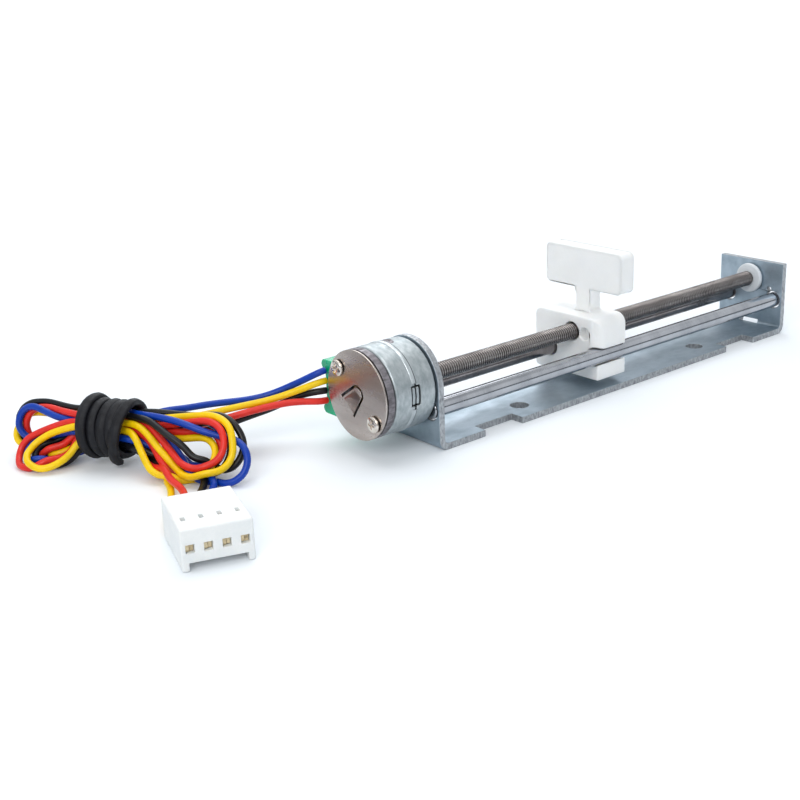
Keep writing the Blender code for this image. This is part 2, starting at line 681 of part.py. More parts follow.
def rear_screws():
    """Two pan-head screws with cross recesses, through the plate into the disc."""
    seat = PLATE_BACK - FINE
    crown = seat - PLATE_SCREW_HEAD
    rim = PLATE_SCREW_HEAD_RADIUS
    head = [(crown + PLATE_SCREW_CROWN * (1 - math.cos(angle)), rim * math.sin(angle))
            for angle in (math.radians(90 - 18 * step) for step in range(5))]
    profile = [(seat + PLATE_SCREW_LENGTH, 0), (seat + PLATE_SCREW_LENGTH, PLATE_SCREW_RADIUS),
               (seat, PLATE_SCREW_RADIUS), (seat, rim)] + head + [(crown, 0)]
    half, arm = RECESS_WIDTH / 2, RECESS_LENGTH / 2
    for name, (across, up) in zip(("rear_screw_upper", "rear_screw_lower"), plate_screw_places()):
        screw = turned(name, profile, (across, up), 20)
        for wide, tall in ((half, arm), (arm, half)):
            cut(screw, block("recess_cut", (crown - OVERCUT, across - wide, up - tall),
                             (crown + RECESS_DEPTH, across + wide, up + tall)))
        painted(screw, STAINLESS, 0.25, 1.0)


def terminal_block():
    """The moulded block on the motor's side that takes the leads, hollowed to fit the cups."""
    back = NEAR_FACE - BLOCK_FRONT - BLOCK_LENGTH
    ear = BLOCK_WAIST + EAR_PROUD - EAR_ROUND
    inner = MOTOR_RADIUS - 2 * BLOCK_WALL
    outline = [(inner, BLOCK_BOTTOM)] + arc((ear, BLOCK_BOTTOM + EAR_ROUND), EAR_ROUND, -90, 90, 6)
    outline += [(BLOCK_WAIST, BLOCK_BOTTOM + EAR_HEIGHT), (BLOCK_WAIST, BLOCK_TOP - EAR_HEIGHT)]
    outline += arc((ear, BLOCK_TOP - EAR_ROUND), EAR_ROUND, -90, 90, 6) + [(inner, BLOCK_TOP)]
    body = extruded("terminal_block", "X", back, back + BLOCK_LENGTH, outline)
    can = circle((0, AXIS_HEIGHT), MOTOR_RADIUS + SEAT, 48)
    cut(body, extruded("can_cut", "X", back - OVERCUT, back + BLOCK_LENGTH + OVERCUT, can))
    for offset in LEAD_OFFSETS.values():
        cut(body, pin("pin_cut", offset, PIN_RADIUS + FINE, OVERCUT))
    return painted(body, GREEN, 0.25)


def pin(name, offset, radius, longer=0.0):
    """A pin along Y from inside the cup's wall out through the block, at a height from the axis."""
    middle = NEAR_FACE - BLOCK_FRONT - BLOCK_LENGTH / 2
    start = MOTOR_RADIUS - CUP_WALL + SEAT
    end = BLOCK_WAIST + PIN_PROUD
    outline = circle((middle, AXIS_HEIGHT + offset), radius, 10)
    return extruded(name, "Y", start - longer, end + longer, outline)


def terminal_pins():
    """One pin to each lead."""
    for colour, offset in LEAD_OFFSETS.items():
        painted(pin("terminal_pin_" + colour, offset, PIN_RADIUS), BRASS, 0.3, 1.0)


def slider():
    """The moulded slider: open fork on the front rod, closed bore on the rear rod, threaded
    through for the screw, with a neck and a paddle that the driven device takes hold of."""
    run = ROD_RADIUS + FINE
    reach = SLIDER_FRONT - ROD_OFFSET
    jaw = math.degrees(math.acos(-reach / run))
    groove = arc((-ROD_OFFSET, ROD_HEIGHT), run, jaw, -jaw, 20)
    outline = [(-SLIDER_FRONT, SLIDER_BOTTOM)]
    outline += arc((SLIDER_REAR - FOOT_FILLET, SLIDER_BOTTOM + FOOT_FILLET), FOOT_FILLET, -90, 0, 4)
    outline += arc((SLIDER_REAR - REAR_FILLET, SLIDER_TOP - REAR_FILLET), REAR_FILLET, 0, 90, 5)
    outline += arc((-SLIDER_FRONT + FRONT_FILLET, SLIDER_TOP - FRONT_FILLET), FRONT_FILLET, 90, 180, 6)
    outline += groove
    rod_bore = circle((ROD_OFFSET, ROD_HEIGHT), run, 24)
    screw_bore = circle((0, AXIS_HEIGHT), SCREW_RADIUS + FINE, 24)
    back = SLIDER_FACE + SLIDER_LENGTH
    body = extruded("slider", "X", SLIDER_FACE, back, outline, rod_bore, screw_bore)
    with_origin(body, ((SLIDER_FACE + back) / 2, 0, AXIS_HEIGHT))

    corner_x, corner_y = SLIDER_FACE + CORNER_FILLET, -SLIDER_FRONT + CORNER_FILLET
    off_x, off_y = SLIDER_FACE - OVERCUT, -SLIDER_FRONT - OVERCUT
    corner = [(off_x, off_y), (corner_x, off_y)]
    corner += arc((corner_x, corner_y), CORNER_FILLET, 270, 180, 6) + [(off_x, corner_y)]
    cut(body, extruded("corner_cut", "Z", ROD_HEIGHT, SLIDER_TOP + OVERCUT, corner))
    blind = circle((-BLIND_HOLE_OFFSET, AXIS_HEIGHT), BLIND_HOLE_RADIUS, 20)
    cut(body, extruded("blind_cut", "X", SLIDER_FACE - OVERCUT, SLIDER_FACE + BLIND_HOLE_DEPTH, blind))

    half = NECK_WIDTH / 2
    spread = half + NECK_FLARE
    neck_face = SLIDER_FACE + NECK_FROM_FACE
    flare = SLIDER_TOP + NECK_FLARE
    outline = [(-spread, SLIDER_TOP - NECK_ROOT), (spread, SLIDER_TOP - NECK_ROOT)]
    outline += arc((spread, flare), NECK_FLARE, 270, 180, 4)
    outline += [(half, PADDLE_BOTTOM + NECK_ROOT), (-half, PADDLE_BOTTOM + NECK_ROOT)]
    outline += arc((-spread, flare), NECK_FLARE, 0, -90, 4)
    neck = extruded("neck", "X", neck_face, neck_face + NECK_LENGTH, outline)
    face = rectangle(-PADDLE_WIDTH / 2, PADDLE_BOTTOM, PADDLE_WIDTH / 2, PADDLE_TOP, PADDLE_CORNER)
    paddle = extruded("paddle", "X", neck_face, neck_face + PADDLE_THICKNESS, face)
    join(body, neck, rounded(paddle, PADDLE_EDGE, 2))
    return painted(body, WHITE, 0.35)


def smooth_curve(route):
    """Points at an even spacing on a smooth curve through a route's points."""
    stops = [Vector(point) * MM for point in route]
    ends = [2 * stops[0] - stops[1]] + stops + [2 * stops[-1] - stops[-2]]
    fine = []
    for before, start, end, after in zip(ends, ends[1:], ends[2:], ends[3:]):
        for step in range(12):
            t = step / 12
            fine.append(0.5 * (2 * start + (end - before) * t
                               + (2 * before - 5 * start + 4 * end - after) * t ** 2
                               + (3 * start - before - 3 * end + after) * t ** 3))
    fine.append(stops[-1])
    lengths = [0.0]
    for start, end in zip(fine, fine[1:]):
        lengths.append(lengths[-1] + (end - start).length)
    count = max(2, round(lengths[-1] / POINT_SPACING))
    points, index = [], 0
    for step in range(count + 1):
        goal = lengths[-1] * step / count
        while index < len(fine) - 2 and lengths[index + 1] < goal:
            index += 1
        part = (goal - lengths[index]) / (lengths[index + 1] - lengths[index])
        points.append(fine[index].lerp(fine[index + 1], part))
    return points


def lead(name, route, colour):
    """One insulated lead along a route in millimetres."""
    curve = bpy.data.curves.new(name, "CURVE")
    curve.dimensions = "3D"
    curve.bevel_depth = LEAD_RADIUS
    curve.bevel_resolution = 2
    curve.use_fill_caps = True
    points = smooth_curve(route)
    spline = curve.splines.new("POLY")
    spline.points.add(len(points) - 1)
    for place, point in zip(spline.points, points):
        place.co = (*point, 1)
    tube = bpy.data.objects.new(name, curve)
    pieces.objects.link(tube)
    return painted(tube, LEAD_COLOURS[colour], 0.35)


# Lead routes in millimetres, from the terminal block to the hank
MOTOR_ROUTES = {
    "blue": [(-57.5, 8.8, 12.9), (-58.5, 9.2, 12.6), (-60.2, 11.4, 11.2), (-62.4, 13.7, 9.8),
             (-64.6, 15.4, 8.8), (-67.6, 17.2, 8.3), (-71.0, 18.5, 8.4), (-74.8, 19.8, 8.5),
             (-78.0, 20.6, 8.5), (-80.2, 21.0, 8.8)],
    "yellow": [(-57.5, 8.8, 11.1), (-58.6, 9.0, 11.0), (-61.0, 11.1, 9.9), (-63.0, 12.6, 9.1),
               (-65.3, 14.1, 8.4), (-68.3, 15.9, 7.9), (-71.4, 17.3, 7.6), (-74.6, 18.7, 7.2),
               (-77.6, 19.8, 7.2), (-79.6, 20.3, 7.6)],
    "black": [(-57.5, 8.8, 9.4), (-58.6, 9.2, 9.4), (-60.6, 11.6, 8.7), (-62.6, 13.4, 7.6),
              (-64.8, 14.9, 6.5), (-67.6, 16.3, 5.8), (-70.6, 17.5, 5.0), (-74.4, 18.9, 4.5),
              (-78.0, 19.8, 4.4), (-80.8, 20.0, 4.9)],
    "red": [(-57.5, 8.8, 7.7), (-58.7, 8.9, 7.8), (-61.4, 10.6, 8.0), (-63.6, 12.0, 7.9),
            (-65.9, 13.3, 7.6), (-69.0, 15.1, 7.0), (-71.6, 16.6, 6.4), (-74.6, 18.2, 5.8),
            (-77.8, 19.6, 5.7), (-79.9, 20.1, 6.2)],
}

# Lead routes in millimetres, from the hank to the contacts in the plug
PLUG_ROUTES = {
    "yellow": [(-84.6, 16.0, 1.8), (-84.9, 15.1, 1.1), (-85.3, 13.9, 0.7), (-86.1, 12.4, 0.65),
               (-87.7, 9.2, 0.65), (-90.4, 4.6, 1.0), (-93.2, 0.4, 2.0), (-94.9, -2.8, 3.0),
               (-95.5, -4.5, 3.34), (-96.8, -8.4, 3.34)],
    "red": [(-85.8, 18.9, 2.6), (-86.1, 18.0, 2.0), (-86.3, 16.2, 1.85), (-86.4, 13.0, 1.95),
            (-87.4, 9.6, 2.1), (-87.6, 6.4, 1.9), (-89.1, 2.6, 2.1), (-91.3, -1.2, 2.8),
            (-92.5, -3.8, 3.25), (-93.1, -5.4, 3.34), (-94.4, -9.2, 3.34)],
    "black": [(-82.2, 8.2, 0.7), (-83.5, 6.9, 0.65), (-85.6, 4.1, 0.7), (-87.6, 1.0, 1.2),
              (-89.3, -2.3, 2.4), (-90.3, -4.8, 3.2), (-90.7, -6.2, 3.34), (-92.0, -10.1, 3.34)],
    "blue": [(-81.4, 6.9, 0.7), (-82.6, 5.7, 0.65), (-84.0, 3.0, 0.7), (-85.6, -0.1, 1.2),
             (-87.0, -3.2, 2.4), (-87.9, -5.7, 3.2), (-88.3, -7.1, 3.34), (-89.6, -10.9, 3.34)],
}


def hank_frame():
    """The hank's own axes: X along it, Y up it, leaning away from the plug, Z across it."""
    upright = math.radians(90) - HANK_LEAN
    turn = Matrix.Rotation(HANK_TURN, 4, "Z") @ Matrix.Rotation(upright, 4, "X")
    return Matrix.Translation(HANK_CENTRE) @ turn


def lead_hank():
    """The outer shape of the folded leads: two bunches of loops either side of the tie."""
    waist = WAIST_LENGTH / 2
    open_arc = math.degrees(LOBE_ARC)
    near = arc((NEAR_LOBE[0], -LOBE_DROP), NEAR_LOBE[1], -open_arc, open_arc, 20)
    far = arc((FAR_LOBE[0], -LOBE_DROP), FAR_LOBE[1], 180 - open_arc, 180 + open_arc, 20)
    outline = [(waist, -WAIST_HALF)] + near + [(waist, WAIST_HALF), (-waist, WAIST_HALF)] + far
    outline += [(-waist, -WAIST_HALF)]
    hank = extruded("lead_hank", "Z", HANK_ASIDE - HANK_THICKNESS / 2,
                    HANK_ASIDE + HANK_THICKNESS / 2, outline, edge=HANK_EDGE)
    hank.matrix_world = hank_frame() @ hank.matrix_world
    return painted(hank, (0.12, 0.1, 0.09), 0.5)


def hank_tie():
    """The rubber cord wound round the hank's waist, turn beside turn."""
    half_waist = WAIST_HALF - HANK_EDGE
    half_across = HANK_ASIDE + HANK_THICKNESS / 2 - HANK_EDGE
    bore = math.hypot(half_waist, half_across) + HANK_EDGE + SEAT
    outer = bore + TIE_THICKNESS
    half = TIE_LENGTH / 2
    steps = TIE_TURNS * TIE_TURN_STEPS
    profile = [(half, bore)]
    for step in range(steps + 1):
        bulge = abs(math.sin(math.pi * step / TIE_TURN_STEPS))
        profile.append((half - TIE_LENGTH * step / steps, outer - TIE_GROOVE * (1 - bulge)))
    profile.append((-half, bore))
    tie = turned("hank_tie", profile, steps=24)
    tie.matrix_world = Matrix.Translation(HANK_CENTRE) @ Matrix.Rotation(HANK_TURN, 4, "Z") \
        @ Matrix.Rotation(math.radians(90), 4, "Y")
    return painted(tie, (0.015, 0.015, 0.018), 0.7)


def way_offsets():
    """Each way's place across the plug."""
    return [(index - (WAYS - 1) / 2) * PITCH for index in range(WAYS)]


def on_plug(solid):
    """Move a solid made in the plug's own frame to where the plug lies."""
    solid.matrix_world = Matrix.Translation(PLUG_PLACE) @ Matrix.Rotation(PLUG_TURN, 4, "Z") \
        @ solid.matrix_world
    return solid


def plug_housing():
    """The moulded four-way housing: contact windows, cavities, latch slots and a key recess."""
    half = PLUG_WIDTH / 2
    key, window, latch = half - KEY_SIDE, PLUG_WINDOW / 2, LATCH_WIDTH / 2
    wide, tall = CAVITY_WIDTH / 2, CAVITY_HEIGHT / 2
    middle = PLUG_WINDOW_HEIGHT
    latch_end = LATCH_FROM_FRONT + LATCH_LENGTH
    body = block("plug_housing", (-half, 0, 0), (half, PLUG_LENGTH, PLUG_HEIGHT))
    rounded(body, PLUG_EDGE, 3)
    tools = [block("key_cut", (-key, -OVERCUT, -OVERCUT), (key, KEY_DEPTH, KEY_HEIGHT))]
    for offset in way_offsets():
        tools += [block("window_cut", (offset - window, -OVERCUT, middle - window),
                        (offset + window, PLUG_FRONT_WALL + OVERCUT, middle + window)),
                  block("cavity_cut", (offset - wide, PLUG_FRONT_WALL, middle - tall),
                        (offset + wide, PLUG_LENGTH + OVERCUT, middle + tall)),
                  block("latch_cut", (offset - latch, LATCH_FROM_FRONT, middle),
                        (offset + latch, latch_end, PLUG_HEIGHT + OVERCUT))]
    cut(body, *tools)
    for solid in [body] + tools:
        on_plug(solid)
    return painted(body, WHITE, 0.4)


def plug_contacts():
    """Four folded brass contacts, one in each cavity."""
    wide = CAVITY_WIDTH / 2 - SEAT
    tall = CAVITY_HEIGHT / 2 - SEAT
    start = PLUG_FRONT_WALL + SEAT
    low, high = PLUG_WINDOW_HEIGHT - tall, PLUG_WINDOW_HEIGHT + tall
    for number, offset in enumerate(way_offsets(), 1):
        outer = rectangle(offset - wide, low, offset + wide, high)
        inner = rectangle(offset - wide + CONTACT_WALL, low + CONTACT_WALL,
                          offset + wide - CONTACT_WALL, high - CONTACT_WALL)
        contact = extruded(f"plug_contact_{number}", "Y", start, start + CONTACT_LENGTH, outer, inner)
        painted(on_plug(contact), BRASS, 0.3, 1.0)


def build():
    bracket()
    guide_rod("guide_rod_front", -1)
    guide_rod("guide_rod_rear", 1)
    lead_screw()
    far_bush()
    front_bearing()
    rear_bearing()
    for name, side, bearing in (("front", 1, FRONT_BEARING_RADIUS), ("rear", -1, REAR_BEARING_RADIUS)):
        cup(name + "_cup", side, bearing + SEAT)
        yoke(name + "_yoke", side)
        bobbin(name + "_bobbin", side)
        coil(name + "_coil", side)
    rotor_hub()
    rotor_magnet()
    rear_disc()
    rear_plate()
    rear_screws()
    terminal_block()
    terminal_pins()
    slider()
    for colour, route in MOTOR_ROUTES.items():
        lead(f"motor_lead_{colour}", route, colour)
    for colour, route in PLUG_ROUTES.items():
        lead(f"plug_lead_{colour}", route, colour)
    lead_hank()
    hank_tie()
    plug_housing()
    plug_contacts()


build()
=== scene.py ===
"""Looks of a miniature stepper motor linear slide: finishes, threads, wound leads and their tie.

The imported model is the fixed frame. Lengths are metres, X runs along the screw from the motor.
"""

import json
import math

import bmesh
import bpy
import numpy as np
from mathutils import Matrix, Vector


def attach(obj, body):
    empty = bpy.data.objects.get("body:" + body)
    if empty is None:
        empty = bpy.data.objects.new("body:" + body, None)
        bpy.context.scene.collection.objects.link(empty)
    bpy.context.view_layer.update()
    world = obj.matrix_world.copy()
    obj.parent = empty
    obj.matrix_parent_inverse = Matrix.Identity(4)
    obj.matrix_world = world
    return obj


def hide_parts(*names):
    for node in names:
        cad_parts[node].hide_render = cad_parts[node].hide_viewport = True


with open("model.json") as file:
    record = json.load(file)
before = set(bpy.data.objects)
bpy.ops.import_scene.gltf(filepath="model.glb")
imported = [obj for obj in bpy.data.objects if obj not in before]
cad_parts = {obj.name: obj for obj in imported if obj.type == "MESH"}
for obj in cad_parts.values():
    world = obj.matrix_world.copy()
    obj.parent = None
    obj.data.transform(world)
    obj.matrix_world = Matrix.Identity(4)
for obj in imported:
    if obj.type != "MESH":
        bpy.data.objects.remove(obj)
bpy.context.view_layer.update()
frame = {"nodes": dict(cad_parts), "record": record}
scene = bpy.context.scene
nodes = frame["nodes"]
MM = 0.001

# Camera
# It stands in front of the motor's end and looks along the slide, a little down, as the photo does.
# Its place and angles come from fitting the bracket, rods and motor to the photo.
CAMERA_PLACE = Vector((-0.17777, -0.15771, 0.07815))
CAMERA_HEADING = math.radians(50.78)
CAMERA_DIP = math.radians(19.09)
CAMERA_ROLL = math.radians(-2.34)
CAMERA_LENS = 58.95
lens = bpy.data.cameras.new("camera")
lens.lens = CAMERA_LENS
lens.sensor_width = 36
lens.clip_start = 0.005
lens.clip_end = 30
camera = bpy.data.objects.new("camera", lens)
camera.matrix_world = (Matrix.Translation(CAMERA_PLACE)
                       @ Matrix.Rotation(CAMERA_HEADING - math.pi / 2, 4, "Z")
                       @ Matrix.Rotation(math.pi / 2 - CAMERA_DIP, 4, "X")
                       @ Matrix.Rotation(CAMERA_ROLL, 4, "Z"))
scene.collection.objects.link(camera)
scene.camera = camera

# Bracket
# One strip of galvanised steel sheet, 1.2 mm thick, folded up at both ends. Its faces are spangled
# and smooth, and its cut edges are bright and torn where the punch went through.
WITHIN_BASE = 1.1 * MM
ABOVE_FOLDS = 2.0 * MM
WELD = 0.002 * MM
CORNER = math.radians(30)
SHARP_EDGE = math.radians(50)


def shader_of(material):
    """A material's one Principled shader."""
    return material.node_tree.nodes["Principled BSDF"]


def new_material(name):
    """A material with its node tree, and its one Principled shader."""
    made = bpy.data.materials.new(name)
    made.use_nodes = True
    return made, made.node_tree, shader_of(made)


def finish_group():
    """A node group that mottles a surface: colour, roughness and fine relief from two noises."""
    group = bpy.data.node_groups.new("finish", "ShaderNodeTree")
    for name, kind in (("Vector", "NodeSocketVector"), ("Light", "NodeSocketColor"),
                       ("Dark", "NodeSocketColor"), ("Cloud", "NodeSocketFloat"),
                       ("Grain", "NodeSocketFloat"), ("Relief", "NodeSocketFloat"),
                       ("Smooth", "NodeSocketFloat"), ("Rough", "NodeSocketFloat")):
        group.interface.new_socket(name, in_out="INPUT", socket_type=kind)
    for name, kind in (("Color", "NodeSocketColor"), ("Roughness", "NodeSocketFloat"),
                       ("Normal", "NodeSocketVector")):
        group.interface.new_socket(name, in_out="OUTPUT", socket_type=kind)
    given = group.nodes.new("NodeGroupInput")
    result = group.nodes.new("NodeGroupOutput")
    cloud = group.nodes.new("ShaderNodeTexNoise")
    cloud.inputs["Detail"].default_value = 5
    grain = group.nodes.new("ShaderNodeTexNoise")
    grain.inputs["Detail"].default_value = 2
    mask = group.nodes.new("ShaderNodeMath")
    mask.operation = "MULTIPLY_ADD"
    mask.inputs[1].default_value = 0.35
    spread = group.nodes.new("ShaderNodeMapRange")
    spread.inputs["From Min"].default_value = 0.48
    spread.inputs["From Max"].default_value = 0.86
    tint = group.nodes.new("ShaderNodeMix")
    tint.data_type = "RGBA"
    rough = group.nodes.new("ShaderNodeMapRange")
    dents = group.nodes.new("ShaderNodeBump")
    dents.inputs["Distance"].default_value = 0.00004
    join = group.links.new
    join(given.outputs["Vector"], cloud.inputs["Vector"])
    join(given.outputs["Vector"], grain.inputs["Vector"])
    join(given.outputs["Cloud"], cloud.inputs["Scale"])
    join(given.outputs["Grain"], grain.inputs["Scale"])
    join(grain.outputs["Fac"], mask.inputs[0])
    join(cloud.outputs["Fac"], mask.inputs[2])
    join(mask.outputs[0], spread.inputs["Value"])
    join(spread.outputs["Result"], tint.inputs["Factor"])
    join(given.outputs["Dark"], tint.inputs["A"])
    join(given.outputs["Light"], tint.inputs["B"])
    join(spread.outputs["Result"], rough.inputs["Value"])
    join(given.outputs["Rough"], rough.inputs["To Min"])
    join(given.outputs["Smooth"], rough.inputs["To Max"])
    join(grain.outputs["Fac"], dents.inputs["Height"])
    join(given.outputs["Relief"], dents.inputs["Strength"])
    join(tint.outputs["Result"], result.inputs["Color"])
    join(rough.outputs["Result"], result.inputs["Roughness"])
    join(dents.outputs["Normal"], result.inputs["Normal"])
    return group


FINISH = finish_group()


def finish(name, light, dark, cloud, grain, relief, smooth, rough, metallic, stretch=(1, 1, 1)):
    """A material with the finish group: its two colours, noise scales a metre, relief and shine."""
    made, tree, shader = new_material(name)
    place = tree.nodes.new("ShaderNodeTexCoord")
    shape = tree.nodes.new("ShaderNodeMapping")
    shape.inputs["Scale"].default_value = stretch
    look = tree.nodes.new("ShaderNodeGroup")
    look.node_tree = FINISH
    look.inputs["Light"].default_value = (*light, 1)
    look.inputs["Dark"].default_value = (*dark, 1)
    for socket, value in (("Cloud", cloud), ("Grain", grain), ("Relief", relief),
                          ("Smooth", smooth), ("Rough", rough)):
        look.inputs[socket].default_value = value
    tree.links.new(place.outputs["Object"], shape.inputs["Vector"])
    tree.links.new(shape.outputs["Vector"], look.inputs["Vector"])
    tree.links.new(look.outputs["Color"], shader.inputs["Base Color"])
    tree.links.new(look.outputs["Roughness"], shader.inputs["Roughness"])
    tree.links.new(look.outputs["Normal"], shader.inputs["Normal"])
    shader.inputs["Metallic"].default_value = metallic
    return made


def piece_from(skin, name, body, slot, *stands_for):
    """A smooth object from mesh data, riding on a body, hiding the nodes it replaces. The slot is not used.
    """
    mesh = bpy.data.meshes.new(name)
    skin.to_mesh(mesh)
    skin.free()
    mesh.polygons.foreach_set("use_smooth", [True] * len(mesh.polygons))
    mesh.set_sharp_from_angle(angle=SHARP_EDGE)
    piece = bpy.data.objects.new(name, mesh)
    scene.collection.objects.link(piece)
    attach(piece, body)
    if stands_for:
        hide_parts(*stands_for)
    return piece


def merged_copy(name):
    """A node's mesh as mesh data, its doubled points merged and its flat faces joined."""
    skin = bmesh.new()
    skin.from_mesh(nodes[name].data)
    bmesh.ops.remove_doubles(skin, verts=skin.verts, dist=WELD)
    bmesh.ops.dissolve_limit(skin, angle_limit=math.radians(1), verts=skin.verts, edges=skin.edges)
    bmesh.ops.recalc_face_normals(skin, faces=skin.faces)
    return skin


def round_edges(skin, edge, segments=2):
    """Round the sharp edges of mesh data by so much."""
    corners = [line for line in skin.edges
               if len(line.link_faces) == 2 and line.calc_face_angle() > CORNER]
    bmesh.ops.bevel(skin, geom=corners, offset=edge, segments=segments, profile=0.5,
                    affect="EDGES", material=-1, clamp_overlap=False)
    bmesh.ops.remove_doubles(skin, verts=skin.verts, dist=WELD)
    bmesh.ops.recalc_face_normals(skin, faces=skin.faces)


def keep_faces_flat(piece):
    """Shade the flat faces of a piece flat up to its rounded edges."""
    flat = piece.modifiers.new("flat faces", "WEIGHTED_NORMAL")
    flat.keep_sharp = True


zinc = finish("zinc_sheet_face", (0.43, 0.51, 0.58), (0.32, 0.395, 0.455), 260, 5200, 0.16, 0.34, 0.46,
              0.9, (1, 1.6, 1.6))
torn = finish("zinc_sheet_cut", (0.50, 0.52, 0.54), (0.27, 0.28, 0.30), 2600, 6000, 0.6, 0.36, 0.6,
              0.85, (1, 1, 0.5))
skin = merged_copy("bracket")
for face in skin.faces:
    height = face.calc_center_median().z
    strip_edge = abs(face.normal.y) > 0.9
    base_cut = height < WITHIN_BASE and abs(face.normal.z) < 0.3
    upright_cut = height > ABOVE_FOLDS and abs(face.normal.x) < 0.3
    if strip_edge or base_cut or upright_cut:
        face.material_index = 1
round_edges(skin, 0.12 * MM)
bracket = piece_from(skin, "bracket_finished", "frame", "zinc_sheet", "bracket")
bracket.data.materials.append(zinc)
bracket.data.materials.append(torn)
keep_faces_flat(bracket)

# Guide rods
# Two steel rods, ground and polished, and pressed into both uprights. Grinding leaves faint rings
# round them. The rear rod is painted darker and browner than the front one: painted shade.
SLOTS = {part["node"]: part["material_slot"] for part in frame["record"]["subparts"]}


def finished(name, edge, material, body="frame", segments=2):
    """A node's shape with rounded edges and its real finish, standing for the node."""
    skin = merged_copy(name)
    round_edges(skin, edge, segments)
    piece = piece_from(skin, f"{name}_finished", body, SLOTS[name], name)
    piece.data.materials.append(material)
    keep_faces_flat(piece)


ground = finish("ground_steel", (0.48, 0.49, 0.52), (0.37, 0.38, 0.41), 300, 9000, 0.10, 0.10, 0.20,
                1.0, (1, 0.1, 0.1))
# The same ground steel made darker and browner for the rear rod: painted shade
rear_rod_painted_shade = finish("ground_steel_painted_shade", (0.34, 0.31, 0.31), (0.22, 0.195, 0.19), 300, 9000, 0.10, 0.16, 0.28,
               1.0, (1, 0.1, 0.1))
finished("guide_rod_front", 0.2 * MM, ground)
finished("guide_rod_rear", 0.2 * MM, rear_rod_painted_shade)

# Slider
# One moulding in natural white acetal: an open fork round the rear rod, a closed bore on the front
# rod, a tapped bore for the screw, and a neck with an upright paddle that drives the mechanism.


def let_light_in(material, share, colours, depth):
    """Let so much of the light into a moulding, to a depth that each of its colours reaches."""
    shader = shader_of(material)
    shader.inputs["Subsurface Weight"].default_value = share
    shader.inputs["Subsurface Radius"].default_value = colours
    shader.inputs["Subsurface Scale"].default_value = depth


white_acetal = finish("white_acetal", (0.94, 0.94, 0.93), (0.90, 0.905, 0.90), 250, 2600, 0.14, 0.34,
                      0.48, 0.0)
let_light_in(white_acetal, 0.35, (1.0, 0.9, 0.8), 1.2 * MM)
finished("slider", 0.28 * MM, white_acetal, "slider", 3)

# Lead screw
# The motor's own shaft, with a fine thread rolled over the whole length between the uprights. The
# steel is dark, the thread's root is painted near black as shade, and its crests are burnished bright.
AXIS_HEIGHT = 10.7 * MM
THREAD_END = 44.6 * MM
THREAD_PITCH = 0.5 * MM
THREAD_STEPS = 14
THREAD_PROFILE = [(0.0, 1.28), (0.08, 1.28), (0.20, 1.49), (0.36, 1.49), (0.5, 1.28)]
TURN_WELD = 0.004 * MM
ROOT_RADIUS = 1.42 * MM
PLAIN_MIDDLE = 20 * MM

skin = bmesh.new()
turns = int(2 * THREAD_END / THREAD_PITCH) + 3
line = [skin.verts.new((-THREAD_END - THREAD_PITCH + x * MM, 0, AXIS_HEIGHT + radius * MM))
        for x, radius in THREAD_PROFILE]
edges = [skin.edges.new(pair) for pair in zip(line, line[1:])]
bmesh.ops.spin(skin, geom=line + edges, cent=(0, 0, AXIS_HEIGHT), axis=(1, 0, 0),
               dvec=(THREAD_PITCH / THREAD_STEPS, 0, 0), angle=2 * math.pi * turns,
               steps=THREAD_STEPS * turns)
bmesh.ops.remove_doubles(skin, verts=skin.verts, dist=TURN_WELD)
for side in (-1, 1):
    bmesh.ops.bisect_plane(skin, geom=skin.verts[:] + skin.edges[:] + skin.faces[:],
                           plane_co=(side * THREAD_END, 0, 0), plane_no=(side, 0, 0), clear_outer=True)
ends = merged_copy("lead_screw")
plain = [face for face in ends.faces if abs(face.calc_center_median().x) < PLAIN_MIDDLE]
bmesh.ops.delete(ends, geom=plain, context="FACES")
held = bpy.data.meshes.new("screw_ends")
ends.to_mesh(held)
ends.free()
skin.from_mesh(held)
bpy.data.meshes.remove(held)
bmesh.ops.recalc_face_normals(skin, faces=skin.faces)
# Faces down in the thread's root take a near-black colour: painted shade in the groove
for face in skin.faces:
    middle = face.calc_center_median()
    depth = math.hypot(middle.y, middle.z - AXIS_HEIGHT)
    if abs(middle.x) < THREAD_END and depth < ROOT_RADIUS:
        face.material_index = 1
thread = piece_from(skin, "lead_screw_thread", "screw", "screw_steel", "lead_screw")
oily = finish("oily_thread", (0.52, 0.49, 0.47), (0.34, 0.31, 0.30), 700, 7000, 0.2, 0.20, 0.34, 1.0,
              (0.4, 1, 1))
# Near-black steel for the thread's root: painted shade
thread_root_shade = finish("thread_root_painted_shade", (0.16, 0.145, 0.14), (0.07, 0.06, 0.058), 700, 7000, 0.2, 0.26, 0.42, 1.0,
              (0.4, 1, 1))
thread.data.materials.append(oily)
thread.data.materials.append(thread_root_shade)

# Bearings
# A white moulded bush carries the screw's end in the far upright, and two porous bronze bushes carry
# the shaft in the motor.
acetal = finish("acetal", (0.76, 0.79, 0.82), (0.68, 0.71, 0.74), 400, 4000, 0.12, 0.32, 0.44, 0.0)
finished("far_bush", 0.15 * MM, acetal)
bronze = finish("porous_bronze", (0.48, 0.32, 0.16), (0.20, 0.13, 0.07), 1500, 6000, 0.5, 0.4, 0.6,
                0.9)
for name in ("front_bearing", "rear_bearing"):
    finished(name, 0.12 * MM, bronze)

# Motor cans
# Two cans drawn from zinc-plated sheet, joined rim to rim. The plating is mottled, and drawing leaves
# faint lines round the wall.
can = finish("zinc_can_face", (0.49, 0.525, 0.54), (0.34, 0.385, 0.40), 800, 5600, 0.30, 0.36, 0.5,
             0.85, (1.8, 1, 1))
for name in ("front_cup", "rear_cup"):
    finished(name, 0.18 * MM, can)
